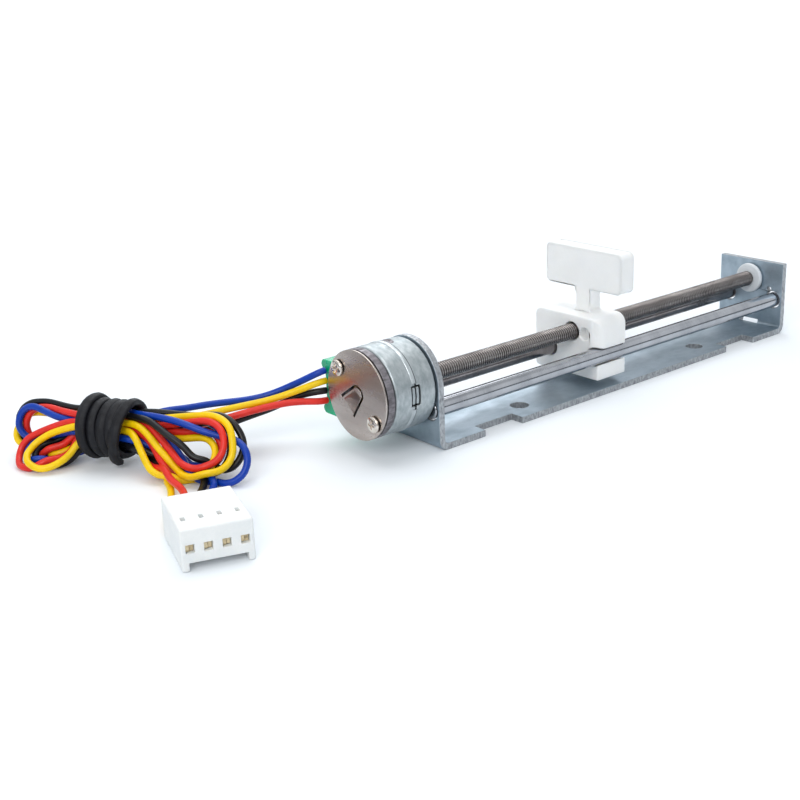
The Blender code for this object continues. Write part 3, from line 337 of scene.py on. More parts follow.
# The rim is a low bead round the cans that stops at the window. It is coloured lighter than the
# cans as a painted highlight, and its side towards the front can is painted dark, shadow in the seam
RIM_PLACE = -51.90 * MM
RIM_RADIUS = 7.47 * MM
RIM_HALF_WIDTH = 0.48 * MM
RIM_HEIGHT = 0.15 * MM
RIM_SIDES = 18
RIM_STEPS = 72
RIM_GAP = math.radians(17)
PAINTED_SHADOW_FROM = RIM_PLACE + 0.27 * MM
skin = bmesh.new()
loop = []
for side in range(RIM_SIDES):
    angle = 2 * math.pi * side / RIM_SIDES
    loop.append(skin.verts.new((RIM_PLACE + RIM_HALF_WIDTH * math.cos(angle), 0,
                                AXIS_HEIGHT + RIM_RADIUS + RIM_HEIGHT * math.sin(angle))))
ring = [skin.edges.new((one, two)) for one, two in zip(loop, loop[1:] + loop[:1])]
bmesh.ops.rotate(skin, verts=loop, cent=(0, 0, AXIS_HEIGHT),
                 matrix=Matrix.Rotation(math.radians(90) + RIM_GAP, 3, "X"))
bmesh.ops.spin(skin, geom=loop + ring, cent=(0, 0, AXIS_HEIGHT), axis=(1, 0, 0),
               angle=2 * math.pi - 2 * RIM_GAP, steps=RIM_STEPS)
bmesh.ops.holes_fill(skin, edges=[line for line in skin.edges if line.is_boundary], sides=0)
bmesh.ops.recalc_face_normals(skin, faces=skin.faces)
# Faces on the front can's side of the bead take the dark colour: painted shadow in the seam
for face in skin.faces:
    if face.calc_center_median().x > PAINTED_SHADOW_FROM:
        face.material_index = 1
bead = piece_from(skin, "can_rim", "frame", "zinc_can")
# A lighter zinc for the bead is a painted highlight, and the dark one is painted shadow
rim_highlight = finish("rim_painted_highlight", (0.60, 0.64, 0.66), (0.46, 0.50, 0.52), 800, 5600, 0.2, 0.28, 0.40,
                   0.85)
seam = finish("seam_painted_shadow", (0.10, 0.11, 0.12), (0.05, 0.055, 0.06), 800, 5600, 0.2, 0.5, 0.6, 0.5)
bead.data.materials.append(rim_highlight)
bead.data.materials.append(seam)
dull_zinc = finish("zinc_disc_face", (0.30, 0.28, 0.30), (0.11, 0.10, 0.11), 1200, 3800, 0.8, 0.36, 0.6,
                   0.85, (0.3, 1, 1))
# The stake is a small pressed ring on top of the front can, lying on the can's curve
CAN_RADIUS = 7.5
STAKE_STEPS = 28
STAKE_PLACE = (-51.0, 0.2)
STAKE_REACH = (0.85, 1.25)
STAKE_RINGS = [(0.0, -0.02), (0.3, 0.01), (0.55, 0.12), (0.75, 0.13), (1.0, -0.03)]
skin = bmesh.new()
line = [skin.verts.new((radius, 0, height)) for radius, height in STAKE_RINGS]
edges = [skin.edges.new(pair) for pair in zip(line, line[1:])]
bmesh.ops.spin(skin, geom=line + edges, cent=(0, 0, 0), axis=(0, 0, 1), angle=2 * math.pi,
               steps=STAKE_STEPS, use_merge=True)
bmesh.ops.remove_doubles(skin, verts=skin.verts, dist=0.01)
for vert in skin.verts:
    along = STAKE_PLACE[0] + STAKE_REACH[0] * vert.co.x
    across = STAKE_PLACE[1] + STAKE_REACH[1] * vert.co.y
    swell = vert.co.z * (1 + 0.5 * math.sin(3 * vert.co.x + 2 * vert.co.y))
    height = AXIS_HEIGHT / MM + math.sqrt(CAN_RADIUS ** 2 - across ** 2) + swell
    vert.co = Vector((along, across, height)) * MM
bmesh.ops.recalc_face_normals(skin, faces=skin.faces)
stake = piece_from(skin, "can_stake", "frame", "zinc_can")
stake.data.materials.append(dull_zinc)

# Inside the motor
# Two black moulded bobbins, wound with enamelled copper wire, lie in the cans with a plated yoke of
# claw poles each. Inside the poles a magnet of plastic-bonded ferrite turns on a brass hub, which is
# pressed onto the shaft.


def dress(name, material):
    """Give a node, as it is, its real finish."""
    nodes[name].data.materials.clear()
    nodes[name].data.materials.append(material)


bobbin = finish("bobbin_moulding", (0.012, 0.012, 0.013), (0.006, 0.006, 0.006), 600, 4000, 0.2, 0.4,
                0.55, 0.0)
wire = finish("enamelled_wire", (0.62, 0.27, 0.12), (0.38, 0.14, 0.06), 600, 9000, 0.6, 0.2, 0.34, 0.9,
              (6, 0.2, 0.2))
ferrite = finish("bonded_magnet", (0.035, 0.035, 0.037), (0.015, 0.015, 0.016), 900, 5000, 0.3, 0.5,
                 0.65, 0.2)
brass = finish("tinned_brass", (0.76, 0.62, 0.40), (0.58, 0.45, 0.26), 900, 6000, 0.2, 0.2, 0.34, 1.0)
for name, material in (("front_bobbin", bobbin), ("rear_bobbin", bobbin), ("front_coil", wire),
                       ("rear_coil", wire), ("rotor_hub", brass), ("rotor_magnet", ferrite)):
    dress(name, material)
for name in ("front_yoke", "rear_yoke"):
    finished(name, 0.06 * MM, can)

# End disc and plate
# A punched disc of darker plated steel with a torn rim closes the motor, under a bright rolled
# plate whose warm tan colour in horizontal bands is painted reflection. A slit tongue in the plate
# presses on the shaft, and two cross-recess screws hold it.
finished("rear_disc", 0.1 * MM, dull_zinc)
# Warm tan steel whose colour varies in horizontal bands: painted reflection
plate_painted_reflection = finish("stainless_painted_reflection", (0.56, 0.505, 0.47), (0.44, 0.38, 0.34), 220, 6500, 0.10, 0.22,
                0.34, 1.0, (1, 0.25, 1.8))
finished("rear_plate", 0.05 * MM, plate_painted_reflection)
# The tongue is pressed into the plate. Its face is a thin sheet just in front of the plate, coloured darker
# brown as painted shade
tongue_shade = finish("tongue_painted_shade", (0.36, 0.29, 0.26), (0.23, 0.18, 0.16), 500, 6500, 0.15, 0.26, 0.38,
                 1.0, (1, 0.25, 1.8))
TONGUE = [(3.30, 9.50), (0.32, 11.50), (-1.12, 10.62), (0.88, 7.36)]
TONGUE_FACE = -58.04 * MM
TONGUE_BACK = -57.9 * MM
skin = bmesh.new()
face = skin.faces.new([skin.verts.new((TONGUE_FACE, y * MM, z * MM)) for y, z in TONGUE])
wall = bmesh.ops.extrude_face_region(skin, geom=[face])["geom"]
for vert in [part for part in wall if isinstance(part, bmesh.types.BMVert)]:
    vert.co.x = TONGUE_BACK
bmesh.ops.recalc_face_normals(skin, faces=skin.faces)
round_edges(skin, 0.02 * MM)
tongue = piece_from(skin, "tongue_painted_shade", "frame", "stainless")
tongue.data.materials.append(tongue_shade)
nickel = finish("nickel_plate", (0.80, 0.74, 0.68), (0.66, 0.59, 0.52), 900, 7000, 0.15, 0.14, 0.26,
                1.0)
for name in ("rear_screw_upper", "rear_screw_lower"):
    finished(name, 0.06 * MM, nickel)

# Terminal block
# A block moulded in clear green plastic, set into the window in the motor's side. A tinned brass pin
# is pressed into it for each lead.
green = finish("green_moulding", (0.0, 0.47, 0.235), (0.0, 0.37, 0.18), 500, 4000, 0.15, 0.22, 0.36,
               0.0)
let_light_in(green, 0.4, (0.3, 1.0, 0.6), 1.2 * MM)
finished("terminal_block", 0.12 * MM, green)
LEAD_COLOURS = ("blue", "yellow", "black", "red")
for colour in LEAD_COLOURS:
    finished(f"terminal_pin_{colour}", 0.05 * MM, brass)

# Leads
# Four leads of fine stranded wire in smooth plastic insulation, one to each pin of the motor. They
# are folded back and forth into a flat hank, held in a wound tie, and crimped to the plug's contacts.
LEAD_DIAMETER = 1.15 * MM
LEAD_ROUNDNESS = 5
LEAD_STEP = 0.8 * MM
LEAD_APART = 1.19 * MM
FLOOR_GAP = 0.02 * MM
TIE_LEFT = -2.8 * MM
TIE_RIGHT = 5.4 * MM
PAST_TIE = 0.6
PLACES_ALONG_TIE = (0, 0.35, 0.7, 1)
BUNDLE_RADIUS = 2.75 * MM
EASY_BEND = 3.4 * MM
LEAST_BEND = 2.9 * MM
FOLD_STEP = 22
HANK = (Matrix.Translation((-88.1 * MM, 28.5 * MM, 6.0 * MM))
        @ Matrix.Rotation(math.radians(-59.3), 4, "Z") @ Matrix.Rotation(math.radians(60), 4, "X"))

# From the terminal block to the hank, in millimetres
MOTOR_ROUTES = {
    "blue": [(-57.5, 8.8, 12.9), (-58.5, 9.2, 12.6), (-60.2, 11.4, 11.2), (-62.4, 13.7, 9.8),
             (-64.6, 15.4, 8.8), (-67.6, 17.2, 8.3), (-71.0, 18.5, 8.4), (-74.8, 19.8, 8.5),
             (-78.0, 20.6, 8.5), (-80.2, 21.0, 8.8)],
    "yellow": [(-57.5, 8.8, 11.1), (-58.6, 9.0, 11.0), (-61.0, 11.1, 9.9), (-63.0, 12.6, 9.1),
               (-65.3, 14.1, 8.4), (-68.3, 15.9, 7.9), (-71.4, 17.3, 7.6), (-74.6, 18.7, 7.2),
               (-77.6, 19.8, 7.2), (-79.6, 20.3, 7.6)],
    "black": [(-57.5, 8.8, 9.4), (-58.6, 9.2, 9.4), (-60.6, 11.6, 8.7), (-62.6, 13.4, 7.6),
              (-64.8, 14.9, 6.5), (-67.6, 16.3, 5.8), (-70.6, 17.5, 5.0), (-74.4, 18.9, 4.5),
              (-78.0, 19.8, 4.4), (-80.8, 20.0, 4.9)],
    "red": [(-57.5, 8.8, 7.7), (-58.7, 8.9, 7.8), (-61.4, 10.6, 8.0), (-63.6, 12.0, 7.9),
            (-65.9, 13.3, 7.6), (-69.0, 15.1, 7.0), (-71.6, 16.6, 6.4), (-74.6, 18.2, 5.8),
            (-77.8, 19.6, 5.7), (-79.9, 20.1, 6.2)],
}

# From the hank to the contacts in the plug, in millimetres
PLUG_ROUTES = {
    "yellow": [(-84.6, 16.0, 1.8), (-84.9, 15.1, 1.1), (-85.3, 13.9, 0.7), (-86.1, 12.4, 0.65),
               (-87.7, 9.2, 0.65), (-90.4, 4.6, 1.0), (-93.2, 0.4, 2.0), (-94.9, -2.8, 3.0),
               (-95.5, -4.5, 3.34), (-96.8, -8.4, 3.34)],
    "red": [(-85.8, 18.9, 2.6), (-86.1, 18.0, 2.0), (-86.3, 16.2, 1.85), (-86.4, 13.0, 1.95),
            (-87.4, 9.6, 2.1), (-87.6, 6.4, 1.9), (-89.1, 2.6, 2.1), (-91.3, -1.2, 2.8),
            (-92.5, -3.8, 3.25), (-93.1, -5.4, 3.34), (-94.4, -9.2, 3.34)],
    "black": [(-82.2, 8.2, 0.7), (-83.5, 6.9, 0.65), (-85.6, 4.1, 0.7), (-87.6, 1.0, 1.2),
              (-89.3, -2.3, 2.4), (-90.3, -4.8, 3.2), (-90.7, -6.2, 3.34), (-92.0, -10.1, 3.34)],
    "blue": [(-81.4, 6.9, 0.7), (-82.6, 5.7, 0.65), (-84.0, 3.0, 0.7), (-85.6, -0.1, 1.2),
             (-87.0, -3.2, 2.4), (-87.9, -5.7, 3.2), (-88.3, -7.1, 3.34), (-89.6, -10.9, 3.34)],
}

# Where each lead lies on its six passes through the tie, up the hank and towards the plug, first at
# the tie's right end and then at its left end
RIGHT_LANES = {
    "blue": [(2.3, -1.0), (2.3, 1.0), (-0.6, 0.0), (-0.6, -2.0), (-1.7, 2.0), (-2.3, -1.0)],
    "yellow": [(1.15, -1.0), (0.6, 2.0), (1.7, 0.0), (-1.15, -1.0), (-0.6, 2.0), (-1.7, 0.0)],
    "black": [(0.6, -2.0), (1.7, 2.0), (2.9, 0.0), (-1.7, -2.0), (-2.3, 1.0), (-2.9, 0.0)],
    "red": [(1.7, -2.0), (1.15, 1.0), (0.6, 0.0), (0.0, -1.0), (0.0, 1.0), (-1.15, 1.0)],
}
LEFT_LANES = {
    "blue": [(-1.2, -2.4), (0.7, 1.5), (0.2, -0.2), (-0.6, -1.4), (-1.5, 1.6), (-2.5, -0.9)],
    "yellow": [(-0.2, -2.6), (1.5, 1.1), (0.6, -1.2), (-1.5, -1.0), (-0.6, 2.6), (-2.2, 1.4)],
    "black": [(0.8, -2.5), (2.5, 0.7), (1.6, -0.2), (-1.9, -1.9), (-2.4, 0.4), (-2.7, 0.2)],
    "red": [(1.7, -2.0), (1.0, 2.2), (1.9, -1.2), (-0.7, -0.2), (0.3, 2.5), (-1.4, 0.6)],
}


def fold(centre, radii, near, start, end, tilt=0.0):
    """Points round one fold of a lead, in the hank's axes and millimetres.

    The fold turns about a centre, along and up the hank, from one angle in degrees to another, and
    moves from its first nearness to its second. With a tilt its top leans away from the plug."""
    steps = round(abs(end - start) / FOLD_STEP)
    points = []
    for step in range(steps + 1):
        part = step / steps
        angle = math.radians(start + (end - start) * part)
        points.append((centre[0] + radii[0] * math.cos(angle), centre[1] + radii[1] * math.sin(angle),
                       near[0] + (near[1] - near[0]) * part - tilt * math.sin(angle)))
    return points


# Five folds to each lead, with listed points where a lead crosses the others on its way
FOLDS = {
    "blue": [
        [(-8.0, -3.2, -1.6), (-11.0, -4.2, -1.6), (-13.5, -4.0, -1.4), (-15.1, -3.3, -1.0),
         (-16.2, -2.3, -0.6), (-16.9, -1.0, -0.2), (-16.8, 0.4, 0.2), (-15.7, 1.7, 0.6),
         (-13.9, 2.2, 1.0), (-12.0, 1.9, 1.2), (-9.3, 1.2, 1.6), (-5.8, 0.5, 2.1)],
        [(10.2, 2.1, 2.4), (13.9, 1.7, 2.4), (17.0, 1.0, 2.2), (19.8, 0.3, 1.4)]
        + fold((22.6, -4.1), (4.2, 4.2), (0.8, 2.2), 75, -140)
        + [(15.7, -4.3, 0.8), (13.8, -2.7, 0.8), (11.3, -0.5, 0.6)],
        fold((-9.9, -4.0), (3.6, 2.6), (-2.9, 0.9), 80, 280),
        fold((17.0, -1.6), (4.2, 4.0), (-1.6, -0.6), 95, -110),
        [(-7.5, -2.1, 1.2), (-9.8, -3.0, 0.8), (-12.0, -4.1, 0.6), (-13.5, -5.4, 0.6), (-13.6, -6.9, 1.4),
         (-11.9, -7.9, 2.9), (-9.9, -8.2, 3.2), (-8.0, -7.1, 1.9), (-5.6, -4.9, -0.2)],
    ],
    "yellow": [
        [(-9.0, -3.6, -2.6), (-13.0, -4.7, -2.0), (-15.5, -4.6, -1.5), (-17.1, -4.3, -1.0),
         (-18.2, -3.2, -1.0), (-17.9, -1.5, -1.0), (-16.4, 0.5, -1.0), (-14.0, 1.5, -0.5),
         (-11.4, 1.7, 0.0), (-7.3, 1.6, 0.8)],
        [(7.6, 0.6, 2.4), (9.5, -0.7, 2.4), (11.4, -2.5, 2.4), (13.5, -4.4, 2.3)]
        + fold((19.3, -2.2), (5.1, 5.4), (2.5, 1.0), 225, 465),
        fold((-8.6, -3.8), (3.6, 2.6), (-2.2, 1.2), 80, 280),
        fold((17.8, -4.4), (4.0, 4.0), (0.4, 1.6), 95, -70)
        + [(17.0, -8.4, 2.4), (14.7, -8.0, 3.2), (12.6, -6.9, 3.6), (10.5, -5.1, 3.4), (8.4, -3.0, 2.8)],
        [(-6.5, -1.5, 2.6), (-8.8, -2.7, 2.6), (-10.8, -4.6, 2.5), (-12.0, -6.5, 2.3), (-11.0, -8.0, 3.4),
         (-8.4, -8.5, 4.3), (-6.4, -7.6, 3.9), (-5.0, -6.2, 2.8), (-3.8, -4.6, 1.8)],
    ],
    "black": [
        [(-8.0, -3.4, -2.9), (-12.0, -4.6, -2.2), (-14.9, -4.4, -1.6), (-16.5, -3.7, -1.4),
         (-17.6, -2.1, -1.2), (-17.6, -0.4, -0.8), (-16.9, 1.4, -0.4), (-15.3, 2.6, 0.0),
         (-13.0, 3.0, 0.0), (-10.7, 3.1, 0.0), (-8.0, 2.9, 0.2), (-4.9, 2.5, 0.5)],
        [(9.2, 1.5, 2.8), (11.6, 0.2, 3.2), (13.6, -0.9, 3.2), (15.8, -2.0, 2.8), (17.8, -3.4, 1.8)]
        + fold((19.4, -1.9), (5.6, 5.5), (0.9, -0.3), 285, 470),
        fold((-8.0, -3.3), (3.6, 2.6), (-4.0, -0.6), 80, 280),
        fold((18.4, -2.0), (4.6, 4.4), (-0.5, 0.2), 95, -110),
        [(-7.2, -2.5, -0.2), (-9.2, -3.2, -0.4), (-11.1, -4.3, -0.4), (-12.6, -5.6, 0.4), (-12.3, -7.2, 1.8),
         (-10.3, -8.0, 3.0), (-8.0, -7.2, 2.0), (-5.2, -4.8, -0.6)],
    ],
    "red": [
        [(-8.0, -3.0, -2.2), (-11.0, -4.4, -2.4), (-13.2, -4.2, -2.0), (-14.8, -3.5, -1.6),
         (-15.5, -2.5, -1.0), (-15.7, -1.1, -0.6), (-15.4, 0.3, -0.2), (-14.2, 1.6, 0.0),
         (-12.4, 2.2, 0.2), (-10.1, 2.0, 0.6), (-7.6, 1.5, 1.2)],
        [(9.0, 0.4, 2.0), (10.6, -0.6, 2.2), (12.3, -2.2, 2.3), (14.0, -3.7, 2.4)]
        + fold((18.7, -1.8), (4.0, 4.2), (2.6, 1.4), 225, 465),
        fold((-10.5, -4.2), (3.6, 2.7), (-1.8, 1.8), 80, 280),
        fold((18.1, -3.3), (4.3, 3.9), (-0.2, 1.2), 95, -95)
        + [(15.1, -6.2, 1.2), (13.1, -5.1, 1.3), (11.0, -3.4, 1.4), (8.9, -1.8, 1.4)],
        [(-7.1, -0.5, 2.0), (-9.9, -1.7, 1.8), (-12.4, -3.4, 1.5), (-14.1, -5.3, 1.2), (-14.0, -7.1, 1.8),
         (-11.6, -8.5, 3.9), (-9.6, -8.4, 3.9), (-8.0, -7.2, 2.6), (-6.4, -5.6, 1.5), (-4.2, -4.2, 0.9)],
    ],
}

POINTS_BETWEEN_STOPS = 16


def through_points(stops, spacing):
    """Points at an even spacing on a smooth curve through the stops."""
    stops = np.array(stops)
    ends = np.vstack([2 * stops[0] - stops[1], stops, 2 * stops[-1] - stops[-2]])
    fine = []
    for before, start, end, after in zip(ends, ends[1:], ends[2:], ends[3:]):
        for t in np.linspace(0, 1, POINTS_BETWEEN_STOPS, endpoint=False):
            fine.append(0.5 * (2 * start + (end - before) * t
                               + (2 * before - 5 * start + 4 * end - after) * t ** 2
                               + (3 * start - before - 3 * end + after) * t ** 3))
    fine = np.array(fine + [stops[-1]])
    reach = np.concatenate([[0], np.cumsum(np.linalg.norm(np.diff(fine, axis=0), axis=1))])
    count = round(reach[-1] / spacing)
    goals = np.linspace(0, reach[-1], count + 1)
    return np.stack([np.interp(goals, reach, fine[:, axis]) for axis in range(3)], axis=1)


def hank_to_world(points):
    """Points in the hank's axes and millimetres, as the world's in metres."""
    return [tuple(HANK @ (Vector(point) * MM)) for point in points]


def lead_stops(colour):
    """A lead's whole route: motor, six passes through the tie with a fold between, and plug."""
    stops = [tuple(Vector(point) * MM) for point in MOTOR_ROUTES[colour]]
    ends = [(TIE_RIGHT / MM + PAST_TIE, RIGHT_LANES[colour]),
            (TIE_LEFT / MM - PAST_TIE, LEFT_LANES[colour])]
    for index in range(len(RIGHT_LANES[colour])):
        first = Vector((ends[0][0], *ends[0][1][index]))
        last = Vector((ends[1][0], *ends[1][1][index]))
        stops += hank_to_world([tuple(first.lerp(last, part)) for part in PLACES_ALONG_TIE])
        if index < len(FOLDS[colour]):
            stops += hank_to_world(FOLDS[colour][index])
        ends.reverse()
    return stops + [tuple(Vector(point) * MM) for point in PLUG_ROUTES[colour]]


# How far each round of settling pulls a lead to its route, presses it off its neighbours, evens its
# curve, opens an easy bend and a tight one, and keeps its links as long as they were
PULL, PRESS, EVEN, OPEN_EASY, OPEN_TIGHT, KEEP_LENGTH = 0.05, 0.42, 0.35, 0.25, 0.22, 0.3
PULL_AT_END = 0.2
PULL_FADES_OVER = 0.8
HELD_AT_MOTOR = 2
HELD_AT_PLUG = 5
LOOK_ROUND_EVERY = 10
LOOK_ROUND_TO = 1.9 * LEAD_APART
OWN_NEIGHBOURS = 4
# The tie is a straight tube between these places along the hank, and opens as a funnel past them
TUBE_LEFT = -0.4 * MM
TUBE_RIGHT = 4.0 * MM
FUNNEL_SLOPE = 0.75


def settle(chains, rounds):
    """Push the leads off each other, off the floor and into the tie, and keep their bends easy."""
    starts = np.cumsum([0] + [len(chain) for chain in chains])
    points = np.vstack(chains)
    goal = points.copy()
    owner = np.concatenate([np.full(len(chain), index) for index, chain in enumerate(chains)])
    order = np.arange(len(points))
    held = np.zeros(len(points), bool)
    for first, last in zip(starts, starts[1:]):
        held[first:first + HELD_AT_MOTOR] = True
        held[last - HELD_AT_PLUG:last] = True
    loose = ~held
    inner = np.zeros(len(points), bool)
    for first, last in zip(starts, starts[1:]):
        inner[first + 2:last - 2] = True
    inner = np.nonzero(inner & loose)[0]
    to_hank = np.array(HANK.inverted())
    from_hank = np.array(HANK)
    link = [np.arange(first, last - 1) for first, last in zip(starts, starts[1:])]
    link = np.concatenate(link)
    rest = np.linalg.norm(points[link + 1] - points[link], axis=1)
    low = LEAD_DIAMETER / 2 + FLOOR_GAP
    for step in range(rounds):
        if step % LOOK_ROUND_EVERY == 0:
            gaps = np.sum((points[:, None] - points[None]) ** 2, axis=2)
            near = gaps < LOOK_ROUND_TO ** 2
            one, two = np.nonzero(np.triu(near, 1))
            apart = (owner[one] != owner[two]) | (np.abs(order[one] - order[two]) > OWN_NEIGHBOURS)
            one, two = one[apart], two[apart]
        pull = PULL * max(PULL_AT_END, 1 - step / (PULL_FADES_OVER * rounds))
        points[loose] += pull * (goal[loose] - points[loose])
        between = points[two] - points[one]
        size = np.maximum(np.linalg.norm(between, axis=1), 1e-6)
        press = np.maximum(0, LEAD_APART - size) / size
        shift = PRESS * press[:, None] * between
        move = np.zeros_like(points)
        np.add.at(move, one, -shift)
        np.add.at(move, two, shift)
        points[loose] += move[loose]
        eased = (4 * (points[inner - 1] + points[inner + 1]) - points[inner - 2] - points[inner + 2]) / 6
        points[inner] += EVEN * (eased - points[inner])
        turn = points[inner - 1] + points[inner + 1] - 2 * points[inner]
        tight = np.linalg.norm(turn, axis=1) > LEAD_STEP ** 2 / EASY_BEND
        points[inner[tight]] += OPEN_EASY * turn[tight]
        tight = np.linalg.norm(turn, axis=1) > LEAD_STEP ** 2 / LEAST_BEND
        points[inner[tight]] += OPEN_TIGHT * turn[tight]
        span = points[link + 1] - points[link]
        size = np.linalg.norm(span, axis=1)
        shift = KEEP_LENGTH * (1 - rest / size)[:, None] * span
        move = np.zeros_like(points)
        np.add.at(move, link, shift)
        np.add.at(move, link + 1, -shift)
        points[loose] += move[loose]
        local = points @ to_hank[:3, :3].T + to_hank[:3, 3]
        away = np.hypot(local[:, 1], local[:, 2])
        flare = np.maximum(TUBE_LEFT - local[:, 0], local[:, 0] - TUBE_RIGHT)
        room = BUNDLE_RADIUS + FUNNEL_SLOPE * np.maximum(0, flare)
        bound = (local[:, 0] > TIE_LEFT) & (local[:, 0] < TIE_RIGHT) & (away > room)
        local[bound, 1:] *= (room[bound] / away[bound])[:, None]
        points[bound] = local[bound] @ from_hank[:3, :3].T + from_hank[:3, 3]
        points[:, 2] = np.maximum(points[:, 2], low)
    return [points[first:last] for first, last in zip(starts, starts[1:])]


LEAD_LOOKS = {"blue": (0.0, 0.045, 0.40), "yellow": (1.0, 0.66, 0.0),
              "black": (0.006, 0.006, 0.008), "red": (0.80, 0.03, 0.02)}
FULL_ROUNDS = 560
routes = []
for colour in LEAD_COLOURS:
    routes.append(through_points(lead_stops(colour), LEAD_STEP))
settled = settle(routes, FULL_ROUNDS)
contacts = {"yellow": 1, "red": 2, "black": 3, "blue": 4}
for colour, chain in zip(LEAD_COLOURS, settled):
    path = through_points(chain, LEAD_STEP / 2)
    curve = bpy.data.curves.new(f"lead_{colour}", "CURVE")
    curve.dimensions = "3D"
    curve.bevel_depth = LEAD_DIAMETER / 2
    curve.bevel_resolution = LEAD_ROUNDNESS
    curve.use_fill_caps = True
    spline = curve.splines.new("POLY")
    spline.points.add(len(path) - 1)
    for point, place in zip(spline.points, path):
        point.co = (*place, 1)
    strand = bpy.data.objects.new(f"lead_{colour}", curve)
    scene.collection.objects.link(strand)
    light = LEAD_LOOKS[colour]
    dark = [0.84 * value for value in light]
    insulation = finish(f"insulation_{colour}", light, dark, 420, 3000, 0.10, 0.32, 0.38, 0.0)
    shader_of(insulation).inputs["Specular IOR Level"].default_value = 0.35
    curve.materials.append(insulation)
    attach(strand, "frame")
    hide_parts(f"motor_lead_{colour}", f"plug_lead_{colour}", "lead_hank")

# Tie
# A soft black rubber strap, wound five turns round the middle of the hank. Its first turn flares over
# the leads at the left, and its last crosses the others and ends loose at the bottom.
STRAP_SIDES = 24
STRAP_SPACING = 0.22
STRAP_HALF_THICK = 0.62
STRAP_HALF_WIDE = 0.92
STRAP_RIBS = 6
RIB_DEPTH = 0.045
STRETCH_MARKS = 0.02
STRETCH_TURN = 0.9
# Along the hank, out from its axis, and round it from the top towards the plug, in degrees
STRAP_STOPS = [(-1.9, 4.3, -120), (-1.6, 4.7, -50), (-1.6, 4.95, 0), (-1.5, 5.0, 45), (-1.5, 4.95, 90),
               (-1.3, 4.85, 135), (-1.0, 4.6, 180), (-0.6, 4.35, 270), (-0.2, 4.3, 360), (0.0, 4.3, 450),
               (0.6, 4.25, 540), (1.2, 4.15, 630), (1.8, 4.25, 720), (1.9, 4.3, 810), (2.1, 4.2, 900),
               (2.7, 4.15, 990), (3.3, 4.2, 1080), (3.5, 4.3, 1170), (3.8, 4.2, 1260), (4.5, 4.3, 1350),
               (5.2, 4.5, 1440), (5.4, 4.7, 1485), (5.1, 4.9, 1530), (4.4, 5.1, 1575), (3.7, 5.2, 1605),
               (3.3, 5.35, 1625)]


def strap_mesh(stops):
    """A ribbed oval section, extruded step by step along turns round the hank's axis."""
    route = through_points([(along, out, math.radians(turn)) for along, out, turn in stops],
                           STRAP_SPACING)
    middles = []
    for along, out, turn in route:
        middles.append(Vector((along, out * math.cos(turn), out * math.sin(turn))))
    skin = bmesh.new()
    place_round = skin.verts.layers.float.new("place round the section")
    ring = bmesh.ops.create_circle(skin, segments=STRAP_SIDES, radius=1)["verts"]
    for side, vert in enumerate(ring):
        vert[place_round] = 2 * math.pi * side / STRAP_SIDES
    edges = skin.edges[:]
    bmesh.ops.contextual_create(skin, geom=edges)
    for index, middle in enumerate(middles):
        if index:
            grown = bmesh.ops.extrude_edge_only(skin, edges=edges)["geom"]
            ring = {part for part in grown if isinstance(part, bmesh.types.BMVert)}
            edges = [part for part in grown
                     if isinstance(part, bmesh.types.BMEdge) and ring.issuperset(part.verts)]
        ahead = middles[min(index + 1, len(middles) - 1)] - middles[max(index - 1, 0)]
        outward = Vector((0, middle.y, middle.z)).normalized()
        across = ahead.cross(outward).normalized()
        for vert in ring:
            angle = vert[place_round]
            rib = (1 + RIB_DEPTH * math.cos(STRAP_RIBS * angle)
                   + STRETCH_MARKS * math.sin(STRETCH_TURN * index))
            vert.co = HANK @ ((middle + outward * STRAP_HALF_THICK * rib * math.cos(angle)
                               + across * STRAP_HALF_WIDE * rib * math.sin(angle)) * MM)
    bmesh.ops.contextual_create(skin, geom=edges)
    skin.verts.layers.float.remove(place_round)
    bmesh.ops.recalc_face_normals(skin, faces=skin.faces)
    return skin


strap = piece_from(strap_mesh(STRAP_STOPS), "strap", "frame", "tie_rubber", "hank_tie")
rubber = finish("rubber", (0.007, 0.008, 0.012), (0.003, 0.003, 0.005), 600, 5000, 0.3, 0.46, 0.66,
                0.0)
shader_of(rubber).inputs["Specular IOR Level"].default_value = 0.3
strap.data.materials.append(rubber)

# Plug
# A four-way crimp housing moulded in natural nylon, with a latch slot over each contact and a key
# recess below the windows. Each contact is a tinned brass box that shows just behind its window.
PLUG = Matrix.Translation((-96.03 * MM, -17.75 * MM, 0)) @ Matrix.Rotation(math.radians(-19.1), 4, "Z")
CONTACT_PITCH = 2.54
CONTACT_HEIGHT = 3.34
SPRING_BEHIND_FACE = 0.62
SPRING_OFF_MIDDLE = 0.30
SPRING_WIDTH = 0.50
SPRING_HEIGHT = 1.12
SPRING_BOW = 0.30
SPRING_SKEW = 0.10
SPRING_SHEET = 0.12
nylon = finish("nylon", (0.86, 0.87, 0.86), (0.80, 0.82, 0.82), 300, 3000, 0.10, 0.34, 0.46, 0.0)
let_light_in(nylon, 0.25, (1.0, 0.9, 0.8), 0.8 * MM)
finished("plug_housing", 0.08 * MM, nylon)
tin = finish("tin", (0.86, 0.74, 0.50), (0.70, 0.56, 0.34), 900, 6000, 0.2, 0.40, 0.55, 0.25)
for number in contacts.values():
    dress(f"plug_contact_{number}", tin)
skin = bmesh.new()
for place in (-1.5, -0.5, 0.5, 1.5):
    middle = Vector((place * CONTACT_PITCH, SPRING_BEHIND_FACE, CONTACT_HEIGHT))
    for side in (-1, 1):
        spring = bmesh.ops.create_grid(skin, x_segments=1, y_segments=3, size=0.5)["verts"]
        for vert in spring:
            vert.co = middle + Vector((side * SPRING_OFF_MIDDLE + vert.co.x * SPRING_WIDTH,
                                       SPRING_BOW * abs(vert.co.y) + SPRING_SKEW * side,
                                       vert.co.y * SPRING_HEIGHT))
bmesh.ops.solidify(skin, geom=skin.faces[:], thickness=SPRING_SHEET)
